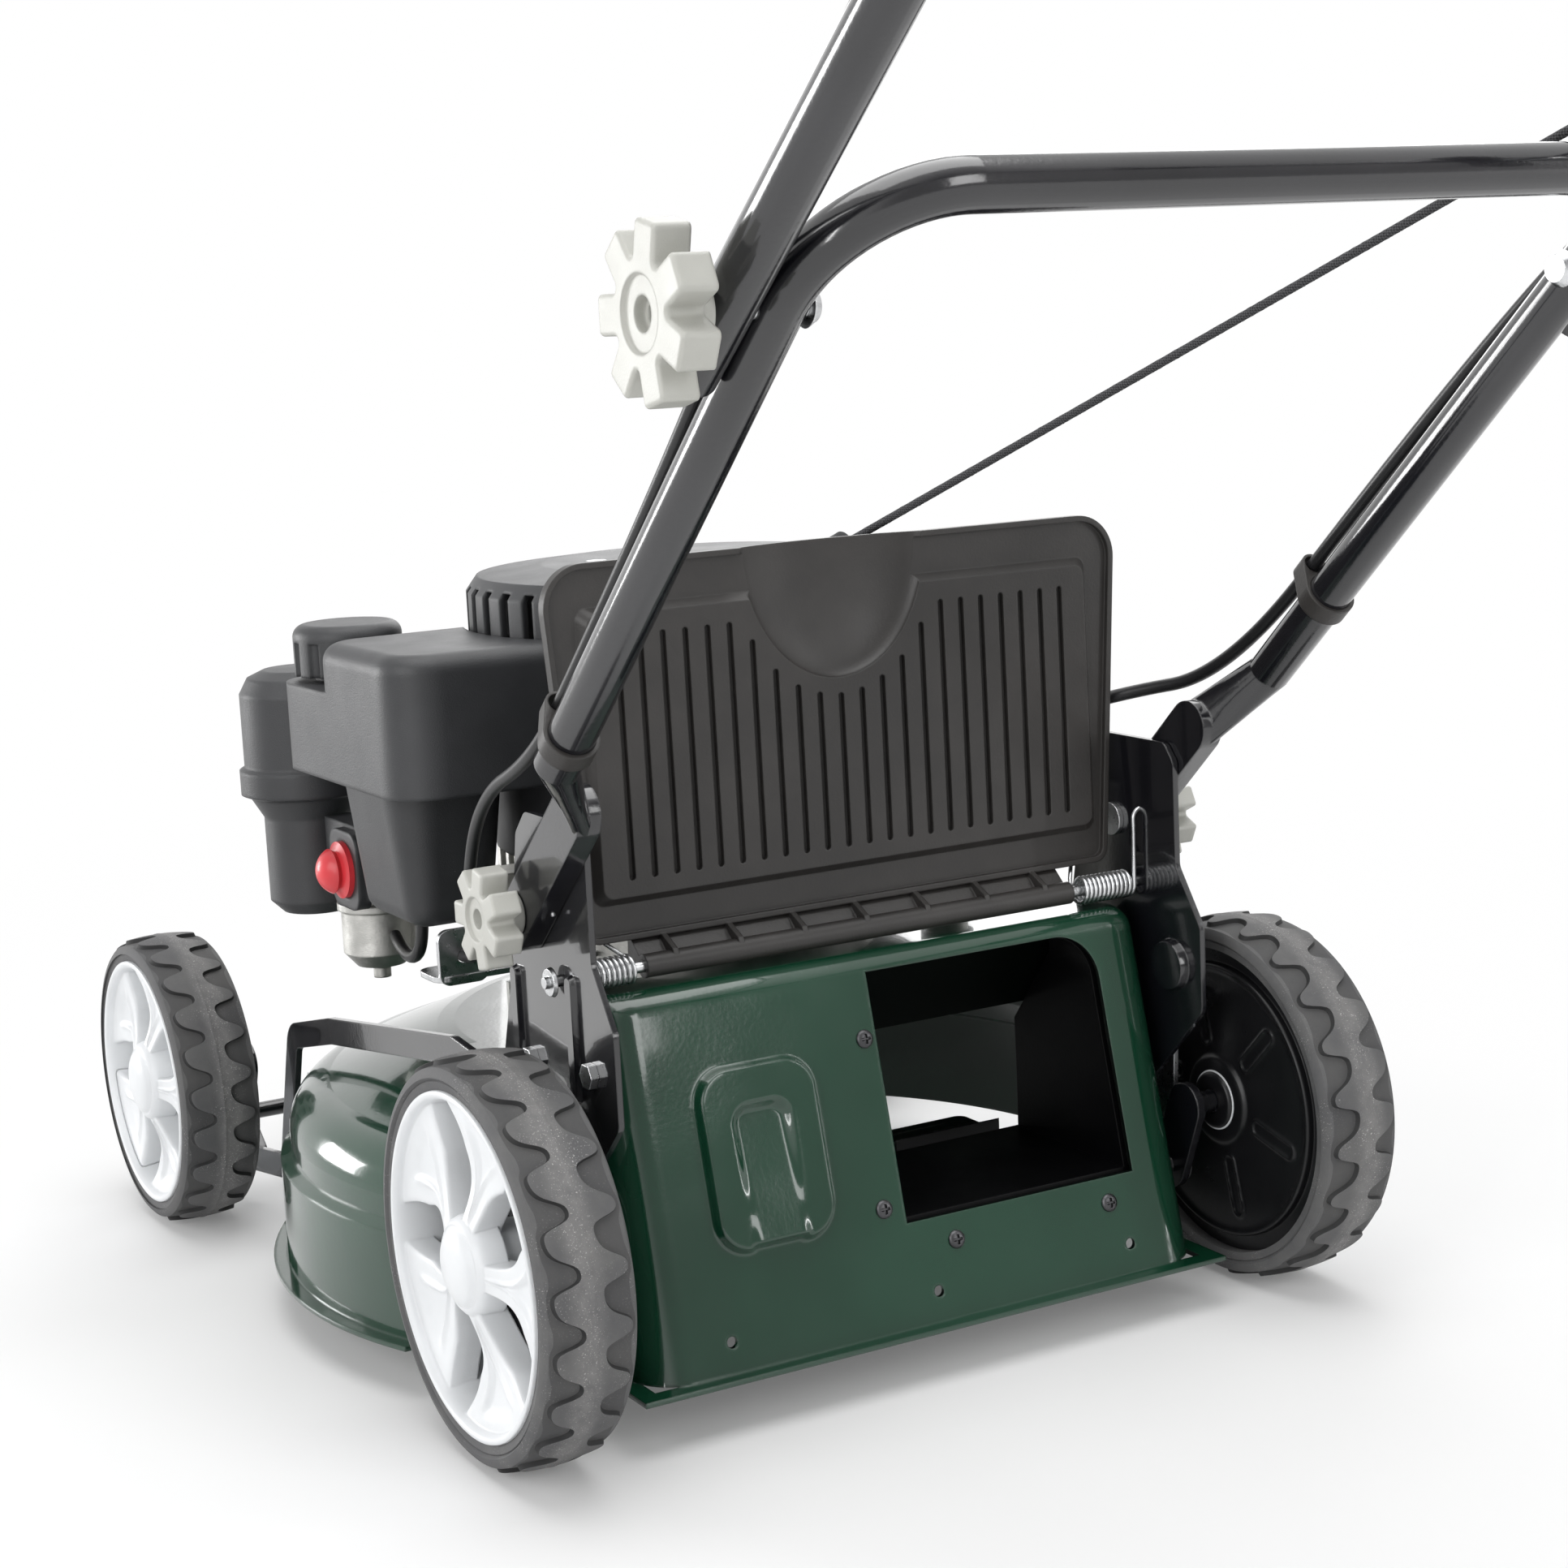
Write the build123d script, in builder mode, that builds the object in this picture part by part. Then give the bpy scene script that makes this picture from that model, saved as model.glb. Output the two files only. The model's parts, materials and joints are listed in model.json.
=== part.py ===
"""Walk-behind push mower: pressed deck, rear discharge, four wheels on cranked axles, folding handle."""
import math
import os

from build123d import *

os.makedirs("parts", exist_ok=True)

# Wheels, millimetres. The part stands on them at z = 0.
REAR_R = 100.0
FRONT_R = 88.5
WHEEL_W = 48.0
REAR_X = 224.0
FRONT_X = 232.0
WHEEL_BASE = 474.0
RIM_SHARE = 0.845

# Handle: slopes of the two loops, in degrees above the ground.
TUBE_R = 11.0
TUBE_WALL = 1.3
LEG_X = 204.0
UPPER_X = 226.3
LOWER_SLOPE = 42.16
UPPER_SLOPE = 38.5
GRIP_R = 15.0
HANDLE_BACK = 800.0

# The origin is under the middle of the footprint, so the rear axle stands ahead of it.
REAR_Y = (HANDLE_BACK + GRIP_R - WHEEL_BASE - FRONT_R) / 2
FRONT_Y = REAR_Y + WHEEL_BASE

# Deck
SKIN = 2.0
RIM_Z = 28.0
BLADE_Y = REAR_Y + 197.0
DOME_R = 250.0
DECK_TOP = 152.0
BOX_HALF = 166.0
BOX_BACK = REAR_Y - 34.0
BOX_LEAN = 45.0
BOX_TOP = 212.0
POCKET_Y = REAR_Y + 108.0

# Height adjustment: the cranks' pivots and the swing of the arms.
ARM_BACK = 15.0
ARM_RISE = 36.0
REAR_PIVOT = (REAR_Y + ARM_BACK, REAR_R - ARM_RISE)
FRONT_PIVOT = (FRONT_Y + ARM_BACK, FRONT_R - ARM_RISE)
ROD_R = 5.0
LINK_PIN = (-26.0, -20.0)
LINK_X = 195.0

# Rear flap on its hinge rod
HINGE_Y = REAR_Y + 28.0
HINGE_Z = 222.0
FLAP_LEAN = 1.0
FLAP_OFFSET = 12.0
FLAP_X = 4.0
FLAP_FOOT_HALF = 157.0
FLAP_EDGE_HALF = 170.0
FLAP_H = 200.0

# Fold points of the handle
LOWER_PIVOT = (REAR_Y + 44.0, 255.0)
UPPER_PIVOT = (REAR_Y - 270.6, 540.0)
CROSS = (REAR_Y - 316.0, 581.0)
BOLT_R = 4.0
RUN = 0.06

DISCHARGE = (-12.0, 129.0, 79.0, 204.0)
DISCHARGE_CORNER = 24.0
ENGINE_Z = DECK_TOP


def write(piece, name):
    piece.part.label = name
    export_step(piece.part, f"parts/{name}.step")


def axle_plane(x, y, z):
    """Local x along the axle, local y up, for profiles that turn about the axle."""
    return Plane(origin=(x, y, z), x_dir=(1, 0, 0), z_dir=(0, -1, 0))


def side_plane(x):
    """Local x forward, local y up, at the given station across the part."""
    return Plane.YZ.offset(x)


def along(pivot, slope, run):
    """Point (y, z) at a distance up a handle leg from its pivot."""
    angle = math.radians(slope)
    return (pivot[0] - run * math.cos(angle), pivot[1] + run * math.sin(angle))


# Deck
def deck_outline(grow):
    """Plan of the deck's foot: a round chamber and a box behind it, pinched in for the rear wheels."""
    Circle(DOME_R + grow)
    with Locations((0, POCKET_Y - BLADE_Y - 200)):
        Rectangle(700, 400 - 2 * grow, mode=Mode.SUBTRACT)
    with Locations((0, (BOX_BACK - BLADE_Y) / 2 - grow / 2)):
        Rectangle(2 * (BOX_HALF + grow), BLADE_Y - BOX_BACK + grow)


def discharge_outline(grow):
    """The rear opening: square corners but for the top one away from the middle."""
    left, right, low, high = DISCHARGE
    Polygon(
        (left - grow, low - grow),
        (right + grow, low - grow),
        (right + grow, high + grow),
        (left - grow, high + grow),
        align=None,
    )
    fillet(vertices().group_by(Axis.Y)[-1].sort_by(Axis.X)[-1:], radius=DISCHARGE_CORNER + grow)


def deck_form(inset, foot):
    """The deck's outer form, or its hollow when drawn in by an inset."""
    dome_r = DOME_R - inset
    top = DECK_TOP - inset
    with BuildPart() as form:
        with BuildSketch(Plane(origin=(0, BLADE_Y, 0), x_dir=(1, 0, 0), z_dir=(0, -1, 0))):
            with BuildLine():
                Line((0, foot), (dome_r, foot))
                Line((dome_r, foot), (dome_r, 84))
                Line((dome_r, 84), (dome_r - 6, 88))
                Line((dome_r - 6, 88), (dome_r - 6, 100))
                ThreePointArc((dome_r - 6, 100), (dome_r - 12, 116 - inset), (dome_r - 30, 126 - inset))
                Line((dome_r - 30, 126 - inset), (158, top - 2))
                Line((158, top - 2), (148, top))
                Line((148, top), (0, top))
                Line((0, top), (0, foot))
            make_face()
        revolve(axis=Axis((0, BLADE_Y, 0), (0, 0, 1)))
        with Locations((0, POCKET_Y - 200 + inset, 100)):
            Box(700, 400, 300, mode=Mode.SUBTRACT)
        with BuildSketch(Plane.YZ.offset(-BOX_HALF + inset)):
            with BuildLine():
                Polyline(
                    (BOX_BACK + inset, foot),
                    (BLADE_Y, foot),
                    (BLADE_Y, top),
                    (REAR_Y + 88 - inset, top),
                    (REAR_Y + 46 - inset, BOX_TOP - inset),
                    (BOX_BACK + BOX_LEAN + inset, BOX_TOP - inset),
                    close=True,
                )
            make_face()
        extrude(amount=2 * (BOX_HALF - inset))
        corners = form.edges().filter_by(
            lambda e: abs(e.center().X) > BOX_HALF - inset - 1
            and e.center().Y < BOX_BACK + BOX_LEAN
            and abs(e.tangent_at(0.5).Z) > 0.9
        )
        fillet(corners, radius=24 - inset)
        crown = form.edges().filter_by(
            lambda e: e.center().Z > BOX_TOP - inset - 0.5 and e.center().Y < REAR_Y + 30
        )
        fillet(crown, radius=14 - inset)
    return form.part


deck_outside = deck_form(0.0, RIM_Z)
deck_hollow = deck_form(SKIN, RIM_Z - 1)
with BuildPart() as deck_shell:
    add(deck_outside)
    add(deck_hollow, mode=Mode.SUBTRACT)
    with BuildSketch(Plane.XY.offset(RIM_Z - 2.5).move(Location((0, BLADE_Y, 0)))):
        deck_outline(8)
        with BuildSketch(mode=Mode.SUBTRACT):
            deck_outline(-SKIN)
    extrude(amount=2.5)
    with BuildSketch(Plane.XZ.offset(-(BOX_BACK - 40))):
        discharge_outline(0)
    extrude(amount=-105, mode=Mode.SUBTRACT)
    with Locations((0, BLADE_Y, DECK_TOP - 5)):
        Cylinder(28, 20, mode=Mode.SUBTRACT)
    with Locations(Location((0, REAR_PIVOT[0], REAR_PIVOT[1]), (0, 90, 0))):
        Cylinder(ROD_R + RUN, 500, mode=Mode.SUBTRACT)
    with BuildSketch(Plane.XZ.offset(-(BOX_BACK - 20))):
        with Locations((0, 43), (-120, 43), (120, 43)):
            Circle(2.8)
    extrude(amount=-30, mode=Mode.SUBTRACT)
    LEAN = math.atan2(BOX_LEAN, BOX_TOP - RIM_Z)
    panel = Plane(
        origin=(0, BOX_BACK, RIM_Z), x_dir=(1, 0, 0), z_dir=(0, -math.cos(LEAN), math.sin(LEAN))
    )
    with BuildSketch(panel):
        with Locations((-86, 102)):
            RectangleRounded(64, 88, 16)
        with Locations((-86, 88)):
            RectangleRounded(36, 84, 10, mode=Mode.SUBTRACT)
    extrude(amount=4, taper=8)
write(deck_shell, "deck_shell")

CHUTE_GAP = 4.0
with BuildPart() as discharge_chute:
    with BuildSketch(Plane.XZ.offset(-(REAR_Y + 84))):
        discharge_outline(2)
        with BuildSketch(mode=Mode.SUBTRACT):
            discharge_outline(-1)
    extrude(amount=150)
    with BuildSketch(Plane.YZ.offset(-200)):
        with BuildLine():
            Polyline(
                (BOX_BACK + SKIN + CHUTE_GAP, RIM_Z),
                (BOX_BACK + BOX_LEAN + SKIN + CHUTE_GAP, BOX_TOP),
                (BOX_BACK - 150, BOX_TOP),
                (BOX_BACK - 150, RIM_Z),
                close=True,
            )
        make_face()
    extrude(amount=400, mode=Mode.SUBTRACT)
    with BuildSketch(Plane.YZ.offset(-200)):
        with BuildLine():
            Polyline(
                (REAR_Y + 26, BOX_TOP),
                (REAR_Y + 110, BOX_TOP),
                (REAR_Y + 110, 111),
                close=True,
            )
        make_face()
    extrude(amount=400, mode=Mode.SUBTRACT)
write(discharge_chute, "discharge_chute")


# Handle brackets, one each side
def handle_bracket(side):
    with BuildPart() as bracket:
        with BuildSketch(side_plane(side * 171)):
            with BuildLine():
                Polyline(
                    (REAR_Y + 34, 96),
                    (REAR_Y + 104, 96),
                    (REAR_Y + 100, 168),
                    (REAR_Y + 84, 214),
                    (REAR_Y + 68, 290),
                    (REAR_Y + 56, 302),
                    (REAR_Y - 2, 302),
                    (REAR_Y - 10, 292),
                    (REAR_Y - 10, 236),
                    (REAR_Y - 30, 206),
                    (REAR_Y - 30, 160),
                    close=True,
                )
            make_face()
            fillet(vertices(), radius=7)
        extrude(amount=side * 3.2)
        with BuildSketch(side_plane(side * 166)):
            with Locations((REAR_Y + 60, 118), (REAR_Y + 62, 176), (REAR_Y - 6, 182)):
                Circle(13)
        extrude(amount=side * 5, taper=-12)
        with BuildSketch(side_plane(side * 174.2)):
            with Locations((REAR_Y + 12, 196), (REAR_Y + 76, 190)):
                SlotOverall(64, 9, rotation=90)
        extrude(amount=side * 3, taper=25)
        with Locations(Location((side * 173, LOWER_PIVOT[0], LOWER_PIVOT[1]), (0, 90, 0))):
            Cylinder(BOLT_R + RUN, 30, mode=Mode.SUBTRACT)
        with Locations(Location((side * 173, HINGE_Y, HINGE_Z), (0, 90, 0))):
            Cylinder(3.05, 30, mode=Mode.SUBTRACT)
    return bracket


left_handle_bracket = handle_bracket(-1)
write(left_handle_bracket, "left_handle_bracket")
right_handle_bracket = handle_bracket(1)
write(right_handle_bracket, "right_handle_bracket")

# Rear flap
lean = math.radians(FLAP_LEAN)
flap_plane = Plane(
    origin=(FLAP_X, HINGE_Y + FLAP_OFFSET * math.cos(lean), HINGE_Z - FLAP_OFFSET * math.sin(lean)),
    x_dir=(1, 0, 0),
    z_dir=(0, -math.cos(lean), math.sin(lean)),
)
SLOT_COUNT = 22
SLOT_SPAN = 262.0
SLOT_PITCH = SLOT_SPAN / (SLOT_COUNT - 1)


def flap_outline(inset):
    """The flap's face, a little wider at the free edge, with rounded free corners."""
    Polygon(
        (-FLAP_FOOT_HALF + inset, 12 + inset),
        (FLAP_FOOT_HALF - inset, 12 + inset),
        (FLAP_EDGE_HALF - inset, FLAP_H - inset),
        (-FLAP_EDGE_HALF + inset, FLAP_H - inset),
        align=None,
    )
    fillet(vertices().sort_by(Axis.Y)[-2:], radius=22 - inset)
    fillet(vertices().sort_by(Axis.Y)[:2], radius=8 - inset)


def bowl(half_w, half_h, depth, edge):
    """Half an ellipsoid behind the flap's face, cut off flat below the free edge."""
    with BuildPart() as form:
        Sphere(1)
        scale(by=(half_w, half_h, depth))
        with Locations((0, edge + 100, 0)):
            Box(300, 200, 200, mode=Mode.SUBTRACT)
    return form.part


PANEL_RISE = 5.0
PANEL_FOOT = 30.0
PANEL_HALF = 151.0
SCOOP_X = -6.0
SCOOP = (54.0, 70.0, 14.0)
SLOT_FOOT = 42.0
dish_at = flap_plane.location * Location((SCOOP_X, FLAP_H, PANEL_RISE))
scoop = bowl(*SCOOP, 0.5).moved(dish_at)
with BuildPart() as dish_form:
    add(bowl(SCOOP[0] + 4, SCOOP[1] + 4, SCOOP[2] + 3.5, 0))
    with Locations((0, 0, 94)):
        Box(300, 300, 200, mode=Mode.SUBTRACT)
dish = dish_form.part.moved(dish_at)
with BuildPart() as rear_flap:
    with BuildSketch(flap_plane):
        flap_outline(0)
    extrude(amount=-3)
    with BuildSketch(flap_plane):
        flap_outline(0)
        with BuildSketch(mode=Mode.SUBTRACT):
            flap_outline(3)
    extrude(amount=3)
    for rise, inset in ((0.0, 0.0), (PANEL_RISE, 4.0)):
        with BuildSketch(flap_plane.offset(rise)):
            with Locations((0, (PANEL_FOOT + FLAP_H - 22) / 2)):
                RectangleRounded(2 * (PANEL_HALF - inset), FLAP_H - 22 - PANEL_FOOT - 2 * inset, 6)
    loft()
    with BuildSketch(flap_plane.offset(1.6)):
        for index in range(SLOT_COUNT):
            slot_x = (index - (SLOT_COUNT - 1) / 2) * SLOT_PITCH
            off = min(1.0, abs(slot_x - SCOOP_X) / (SCOOP[0] + 8))
            slot_top = min(FLAP_H - 36, FLAP_H - (SCOOP[1] + 8) * math.sqrt(1 - off**2))
            with Locations((slot_x, (SLOT_FOOT + slot_top) / 2)):
                SlotOverall(slot_top - SLOT_FOOT, 3.4, rotation=90)
    extrude(amount=10, mode=Mode.SUBTRACT)
    add(dish)
    add(scoop, mode=Mode.SUBTRACT)
    with BuildSketch(side_plane(-128)):
        with Locations((HINGE_Y, HINGE_Z)):
            Circle(6)
    extrude(amount=256)
    with BuildSketch(flap_plane):
        with Locations((-FLAP_X, 10)):
            Rectangle(256, 14)
    extrude(amount=-3)
    with BuildSketch(side_plane(-128)):
        with BuildLine():
            Polyline(
                (HINGE_Y + 2, HINGE_Z - 5.6),
                (HINGE_Y + FLAP_OFFSET + 4.2, HINGE_Z + 2),
                (HINGE_Y + FLAP_OFFSET + 3.6, HINGE_Z + 12),
                (HINGE_Y + FLAP_OFFSET + 0.4, HINGE_Z + 12),
                (HINGE_Y, HINGE_Z + 1),
                close=True,
            )
        make_face()
    extrude(amount=256)
    for index in range(7):
        with BuildSketch(side_plane((index - 3) * 37 - 1.5)):
            with BuildLine():
                Polyline(
                    (HINGE_Y - 5.5, HINGE_Z + 1),
                    (HINGE_Y - 3, HINGE_Z + 7),
                    (HINGE_Y + FLAP_OFFSET, HINGE_Z + 14),
                    (HINGE_Y + FLAP_OFFSET, HINGE_Z + 4),
                    (HINGE_Y, HINGE_Z - 2),
                    close=True,
                )
            make_face()
        extrude(amount=3)
    with Locations(Location((0, HINGE_Y, HINGE_Z), (0, 90, 0))):
        Cylinder(3.06, 400, mode=Mode.SUBTRACT)
write(rear_flap, "rear_flap")

# The rod is held by a push nut outside each bracket.
with BuildPart() as flap_hinge_rod:
    with Locations(Location((0, HINGE_Y, HINGE_Z), (0, 90, 0))):
        Cylinder(3.0, 364)
    for side in (-1, 1):
        with BuildSketch(side_plane(side * 177.6)):
            with Locations((HINGE_Y, HINGE_Z)):
                Circle(7.5)
        extrude(amount=side * 2, taper=20)
write(flap_hinge_rod, "flap_hinge_rod")

# Torsion springs: a steady helix of half-turn biarcs with a straight leg at each end.
SPRING_TURNS = 9
SPRING_R = 6.6
WIRE_R = 1.0
SPRING_IN = 134.5
SPRING_OUT = 168.0


def biarc(start, start_dir, end, end_dir):
    """Two tangent arcs between two points with given directions."""
    span = end - start
    total = start_dir + end_dir
    bend = 2 * (1 - start_dir.dot(end_dir))
    reach = (-span.dot(total) + math.sqrt(span.dot(total) ** 2 + bend * span.dot(span))) / bend
    knee = start + start_dir * reach
    joint = (knee + end - end_dir * reach) * 0.5
    TangentArc(start, joint, tangent=start_dir)
    TangentArc(joint, end, tangent=joint - knee)


def coil_point(side, turn):
    angle = math.radians(90 + 360 * turn)
    x = side * (SPRING_IN + (SPRING_OUT - SPRING_IN) * turn / SPRING_TURNS)
    return Vector(x, HINGE_Y + SPRING_R * math.cos(angle), HINGE_Z + SPRING_R * math.sin(angle))


def coil_dir(side, turn):
    angle = math.radians(90 + 360 * turn)
    rise = side * (SPRING_OUT - SPRING_IN) / SPRING_TURNS / (2 * math.pi)
    return Vector(rise, -SPRING_R * math.sin(angle), SPRING_R * math.cos(angle)).normalized()


def flap_spring(side):
    first = coil_point(side, 0)
    last = coil_point(side, SPRING_TURNS)
    first_dir = coil_dir(side, 0)
    last_dir = coil_dir(side, SPRING_TURNS)
    with BuildPart() as spring:
        with BuildLine() as wire:
            Line(first - first_dir * 17, first)
            for half in range(2 * SPRING_TURNS):
                turn = half / 2
                after = turn + 0.5
                start, start_dir = coil_point(side, turn), coil_dir(side, turn)
                biarc(start, start_dir, coil_point(side, after), coil_dir(side, after))
            Line(last, last + last_dir * 14)
        with BuildSketch(Plane(origin=wire.wire() @ 0, z_dir=wire.wire() % 0)):
            Circle(WIRE_R)
        sweep()
    return spring


left_flap_spring = flap_spring(-1)
write(left_flap_spring, "left_flap_spring")
right_flap_spring = flap_spring(1)
write(right_flap_spring, "right_flap_spring")
pitch = (SPRING_OUT - SPRING_IN) / SPRING_TURNS
print(f"flap spring: gap between turns {pitch - 2 * WIRE_R:.2f} mm, over {SPRING_TURNS} turns")


# Wheels
def make_tyre(side, x, y, radius):
    rim_r = radius * RIM_SHARE
    half = WHEEL_W / 2
    with BuildPart() as tyre:
        with BuildSketch(axle_plane(side * x, y, radius)):
            with BuildLine():
                Line((-half + 2.5, rim_r), (-half, radius - 9))
                ThreePointArc((-half, radius - 9), (-half + 1.5, radius - 4), (-half + 5, radius - 1.6))
                ThreePointArc((-half + 5, radius - 1.6), (0, radius), (half - 5, radius - 1.6))
                ThreePointArc((half - 5, radius - 1.6), (half - 1.5, radius - 4), (half, radius - 9))
                Line((half, radius - 9), (half - 2.5, rim_r))
                Line((half - 2.5, rim_r), (-half + 2.5, rim_r))
            make_face()
        revolve(axis=Axis((side * x, y, radius), (1, 0, 0)))
    return tyre


def make_rim(side, x, y, radius):
    """Spoked rim: barrel, dished web with five windows, hub and its cap."""
    rim_r = radius * RIM_SHARE
    half = WHEEL_W / 2
    with BuildPart() as rim:
        with BuildSketch(axle_plane(side * x, y, radius)):
            with BuildLine():
                Polyline(
                    (side * (half - 0.5), rim_r),
                    (side * (half - 0.5), rim_r - 4),
                    (side * (half - 12), rim_r - 7),
                    (side * (half - 10), rim_r - 20),
                    (side * (half - 4), 24),
                    (side * (half + 2), 20),
                    (side * (half + 7), 17),
                    (side * (half + 7), 0),
                    (side * (half - 1), 0),
                    (side * (half - 1), 6.06),
                    (side * (1 - half), 6.06),
                    (side * (1 - half), 17),
                    (side * (half - 16), 21),
                    (side * (half - 15), rim_r - 20),
                    (side * (half - 17), rim_r - 5),
                    (side * (5 - half), rim_r - 4),
                    (side * (5 - half), rim_r),
                    close=True,
                )
            make_face()
        revolve(axis=Axis((side * x, y, radius), (1, 0, 0)))
        with BuildSketch(Plane(origin=(side * (x - half), y, radius), x_dir=(0, 1, 0), z_dir=(1, 0, 0))):
            with PolarLocations(0, 5, 90):
                Polygon(
                    (rim_r - 12, -(rim_r - 30) * 0.50),
                    (rim_r - 9, 0),
                    (rim_r - 12, (rim_r - 30) * 0.50),
                    (34, 9),
                    (34, -9),
                    align=None,
                )
            fillet(vertices(), radius=5)
        extrude(amount=side * 2 * half, mode=Mode.SUBTRACT)
        fillet(rim.edges().filter_by(GeomType.CIRCLE).sort_by(Axis.X, reverse=side > 0)[0], radius=4)
    return rim


COVER_OUT = 83.0


def make_cover(side, y):
    """Ribbed dust cover inside a rear wheel."""
    inner = side * (REAR_X - WHEEL_W / 2)
    with BuildPart() as cover:
        with BuildSketch(side_plane(inner + side * 2)):
            with Locations((y, REAR_R)):
                Circle(COVER_OUT)
                Circle(20, mode=Mode.SUBTRACT)
        extrude(amount=side * 3)
        with BuildSketch(side_plane(inner + side * 0.5)):
            with Locations((y, REAR_R)):
                Circle(COVER_OUT)
                Circle(COVER_OUT - 5, mode=Mode.SUBTRACT)
                with PolarLocations((20 + COVER_OUT) / 2, 6):
                    Rectangle(COVER_OUT - 20, 5)
        extrude(amount=side * 1.5)
    return cover


for side, hand in ((-1, "left"), (1, "right")):
    front_tyre = make_tyre(side, FRONT_X, FRONT_Y, FRONT_R)
    write(front_tyre, f"front_{hand}_tyre")
    front_rim = make_rim(side, FRONT_X, FRONT_Y, FRONT_R)
    write(front_rim, f"front_{hand}_rim")
    rear_tyre = make_tyre(side, REAR_X, REAR_Y, REAR_R)
    write(rear_tyre, f"rear_{hand}_tyre")
    rear_rim = make_rim(side, REAR_X, REAR_Y, REAR_R)
    write(rear_rim, f"rear_{hand}_rim")
    rear_cover = make_cover(side, REAR_Y)
    write(rear_cover, f"rear_{hand}_dust_cover")


# Cranked axles
def lobe(a, b, radius):
    """Outline of a flat arm between two eyes."""
    with Locations(a, b):
        Circle(radius)
    make_hull()


def crank(pivot, axle, wheel_x, arm_x, pin_reach):
    """Cross rod with an arm and a stub axle at each end, and the link's pin on the left arm."""
    pin = (pivot[0] + LINK_PIN[0], pivot[1] + LINK_PIN[1])
    with BuildPart() as rod:
        with Locations(Location((0, pivot[0], pivot[1]), (0, 90, 0))):
            Cylinder(ROD_R, 2 * arm_x)
        for side in (-1, 1):
            with BuildSketch(side_plane(side * arm_x)):
                lobe(pivot, axle, 13)
            extrude(amount=side * ARM_T)
            with BuildSketch(side_plane(side * arm_x)):
                with Locations(axle):
                    Circle(6)
            extrude(amount=side * (wheel_x + WHEEL_W / 2 - 4 - arm_x))
        with BuildSketch(side_plane(-arm_x)):
            lobe(pivot, pin, 9)
        extrude(amount=-ARM_T)
        with BuildSketch(side_plane(-arm_x - ARM_T / 2)):
            with Locations(pin):
                Circle(BOLT_R)
        extrude(amount=pin_reach)
    return rod


ARM_T = 5.0
REAR_ARM_X = 180.0
FRONT_ARM_X = 185.0
rear_axle = crank(REAR_PIVOT, (REAR_Y, REAR_R), REAR_X, REAR_ARM_X, -16)
write(rear_axle, "rear_axle")
front_axle = crank(FRONT_PIVOT, (FRONT_Y, FRONT_R), FRONT_X, FRONT_ARM_X, -11)
write(front_axle, "front_axle")

REAR_PIN = (REAR_PIVOT[0] + LINK_PIN[0], REAR_PIVOT[1] + LINK_PIN[1])
FRONT_PIN = (FRONT_PIVOT[0] + LINK_PIN[0], FRONT_PIVOT[1] + LINK_PIN[1])
with BuildPart() as height_link:
    with BuildSketch(side_plane(-LINK_X - 2)):
        with BuildLine() as route:
            FilletPolyline(
                REAR_PIN,
                (REAR_Y + 64, 168),
                (REAR_Y + 114, 173),
                (REAR_Y + 293, 147),
                (REAR_Y + 358, 131),
                (REAR_Y + 388, 44),
                FRONT_PIN,
                radius=14,
            )
        trace(line_width=15)
        with Locations(REAR_PIN, FRONT_PIN):
            Circle(10)
        with Locations(REAR_PIN):
            Circle(BOLT_R + RUN, mode=Mode.SUBTRACT)
        with Locations(FRONT_PIN):
            Circle(BOLT_R + 0.6, mode=Mode.SUBTRACT)
    extrude(amount=4)
write(height_link, "height_link")

with BuildPart() as height_lever:
    with BuildSketch(side_plane(REAR_ARM_X + ARM_T)):
        with BuildLine() as route:
            FilletPolyline(REAR_PIVOT, (REAR_PIVOT[0] + 8, REAR_PIVOT[1] + 40), (REAR_Y + 20, 158), radius=20)
        trace(line_width=16)
        with Locations(REAR_PIVOT):
            Circle(11)
    extrude(amount=3)
    with BuildSketch(Plane.XY.offset(157)):
        with Locations((REAR_ARM_X + 8, REAR_Y + 20)):
            Rectangle(20, 22)
    extrude(amount=3)
write(height_lever, "height_lever")

# Carriers hold the front rod ahead of the deck.
with BuildPart() as front_axle_carriers:
    for side in (-1, 1):
        with BuildSketch(side_plane(side * 118)):
            with BuildLine():
                Polyline(
                    (BLADE_Y + 217, 36),
                    (FRONT_PIVOT[0] + 4, 38),
                    (FRONT_PIVOT[0] + 14, 48),
                    (FRONT_PIVOT[0] + 14, 58),
                    (FRONT_PIVOT[0] + 4, 70),
                    (BLADE_Y + 217, 82),
                    close=True,
                )
            make_face()
            with Locations(FRONT_PIVOT):
                Circle(ROD_R + RUN, mode=Mode.SUBTRACT)
        extrude(amount=side * 24)
        with BuildSketch(side_plane(side * 121)):
            with BuildLine():
                Polyline(
                    (BLADE_Y + 200, 30),
                    (FRONT_PIVOT[0] - 12, 30),
                    (FRONT_PIVOT[0] - 12, 90),
                    (BLADE_Y + 200, 90),
                    close=True,
                )
            make_face()
        extrude(amount=side * 18, mode=Mode.SUBTRACT)
    with Locations((0, BLADE_Y, 60)):
        Cylinder(DOME_R + 0.05, 90, mode=Mode.SUBTRACT)
write(front_axle_carriers, "front_axle_carriers")


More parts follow.
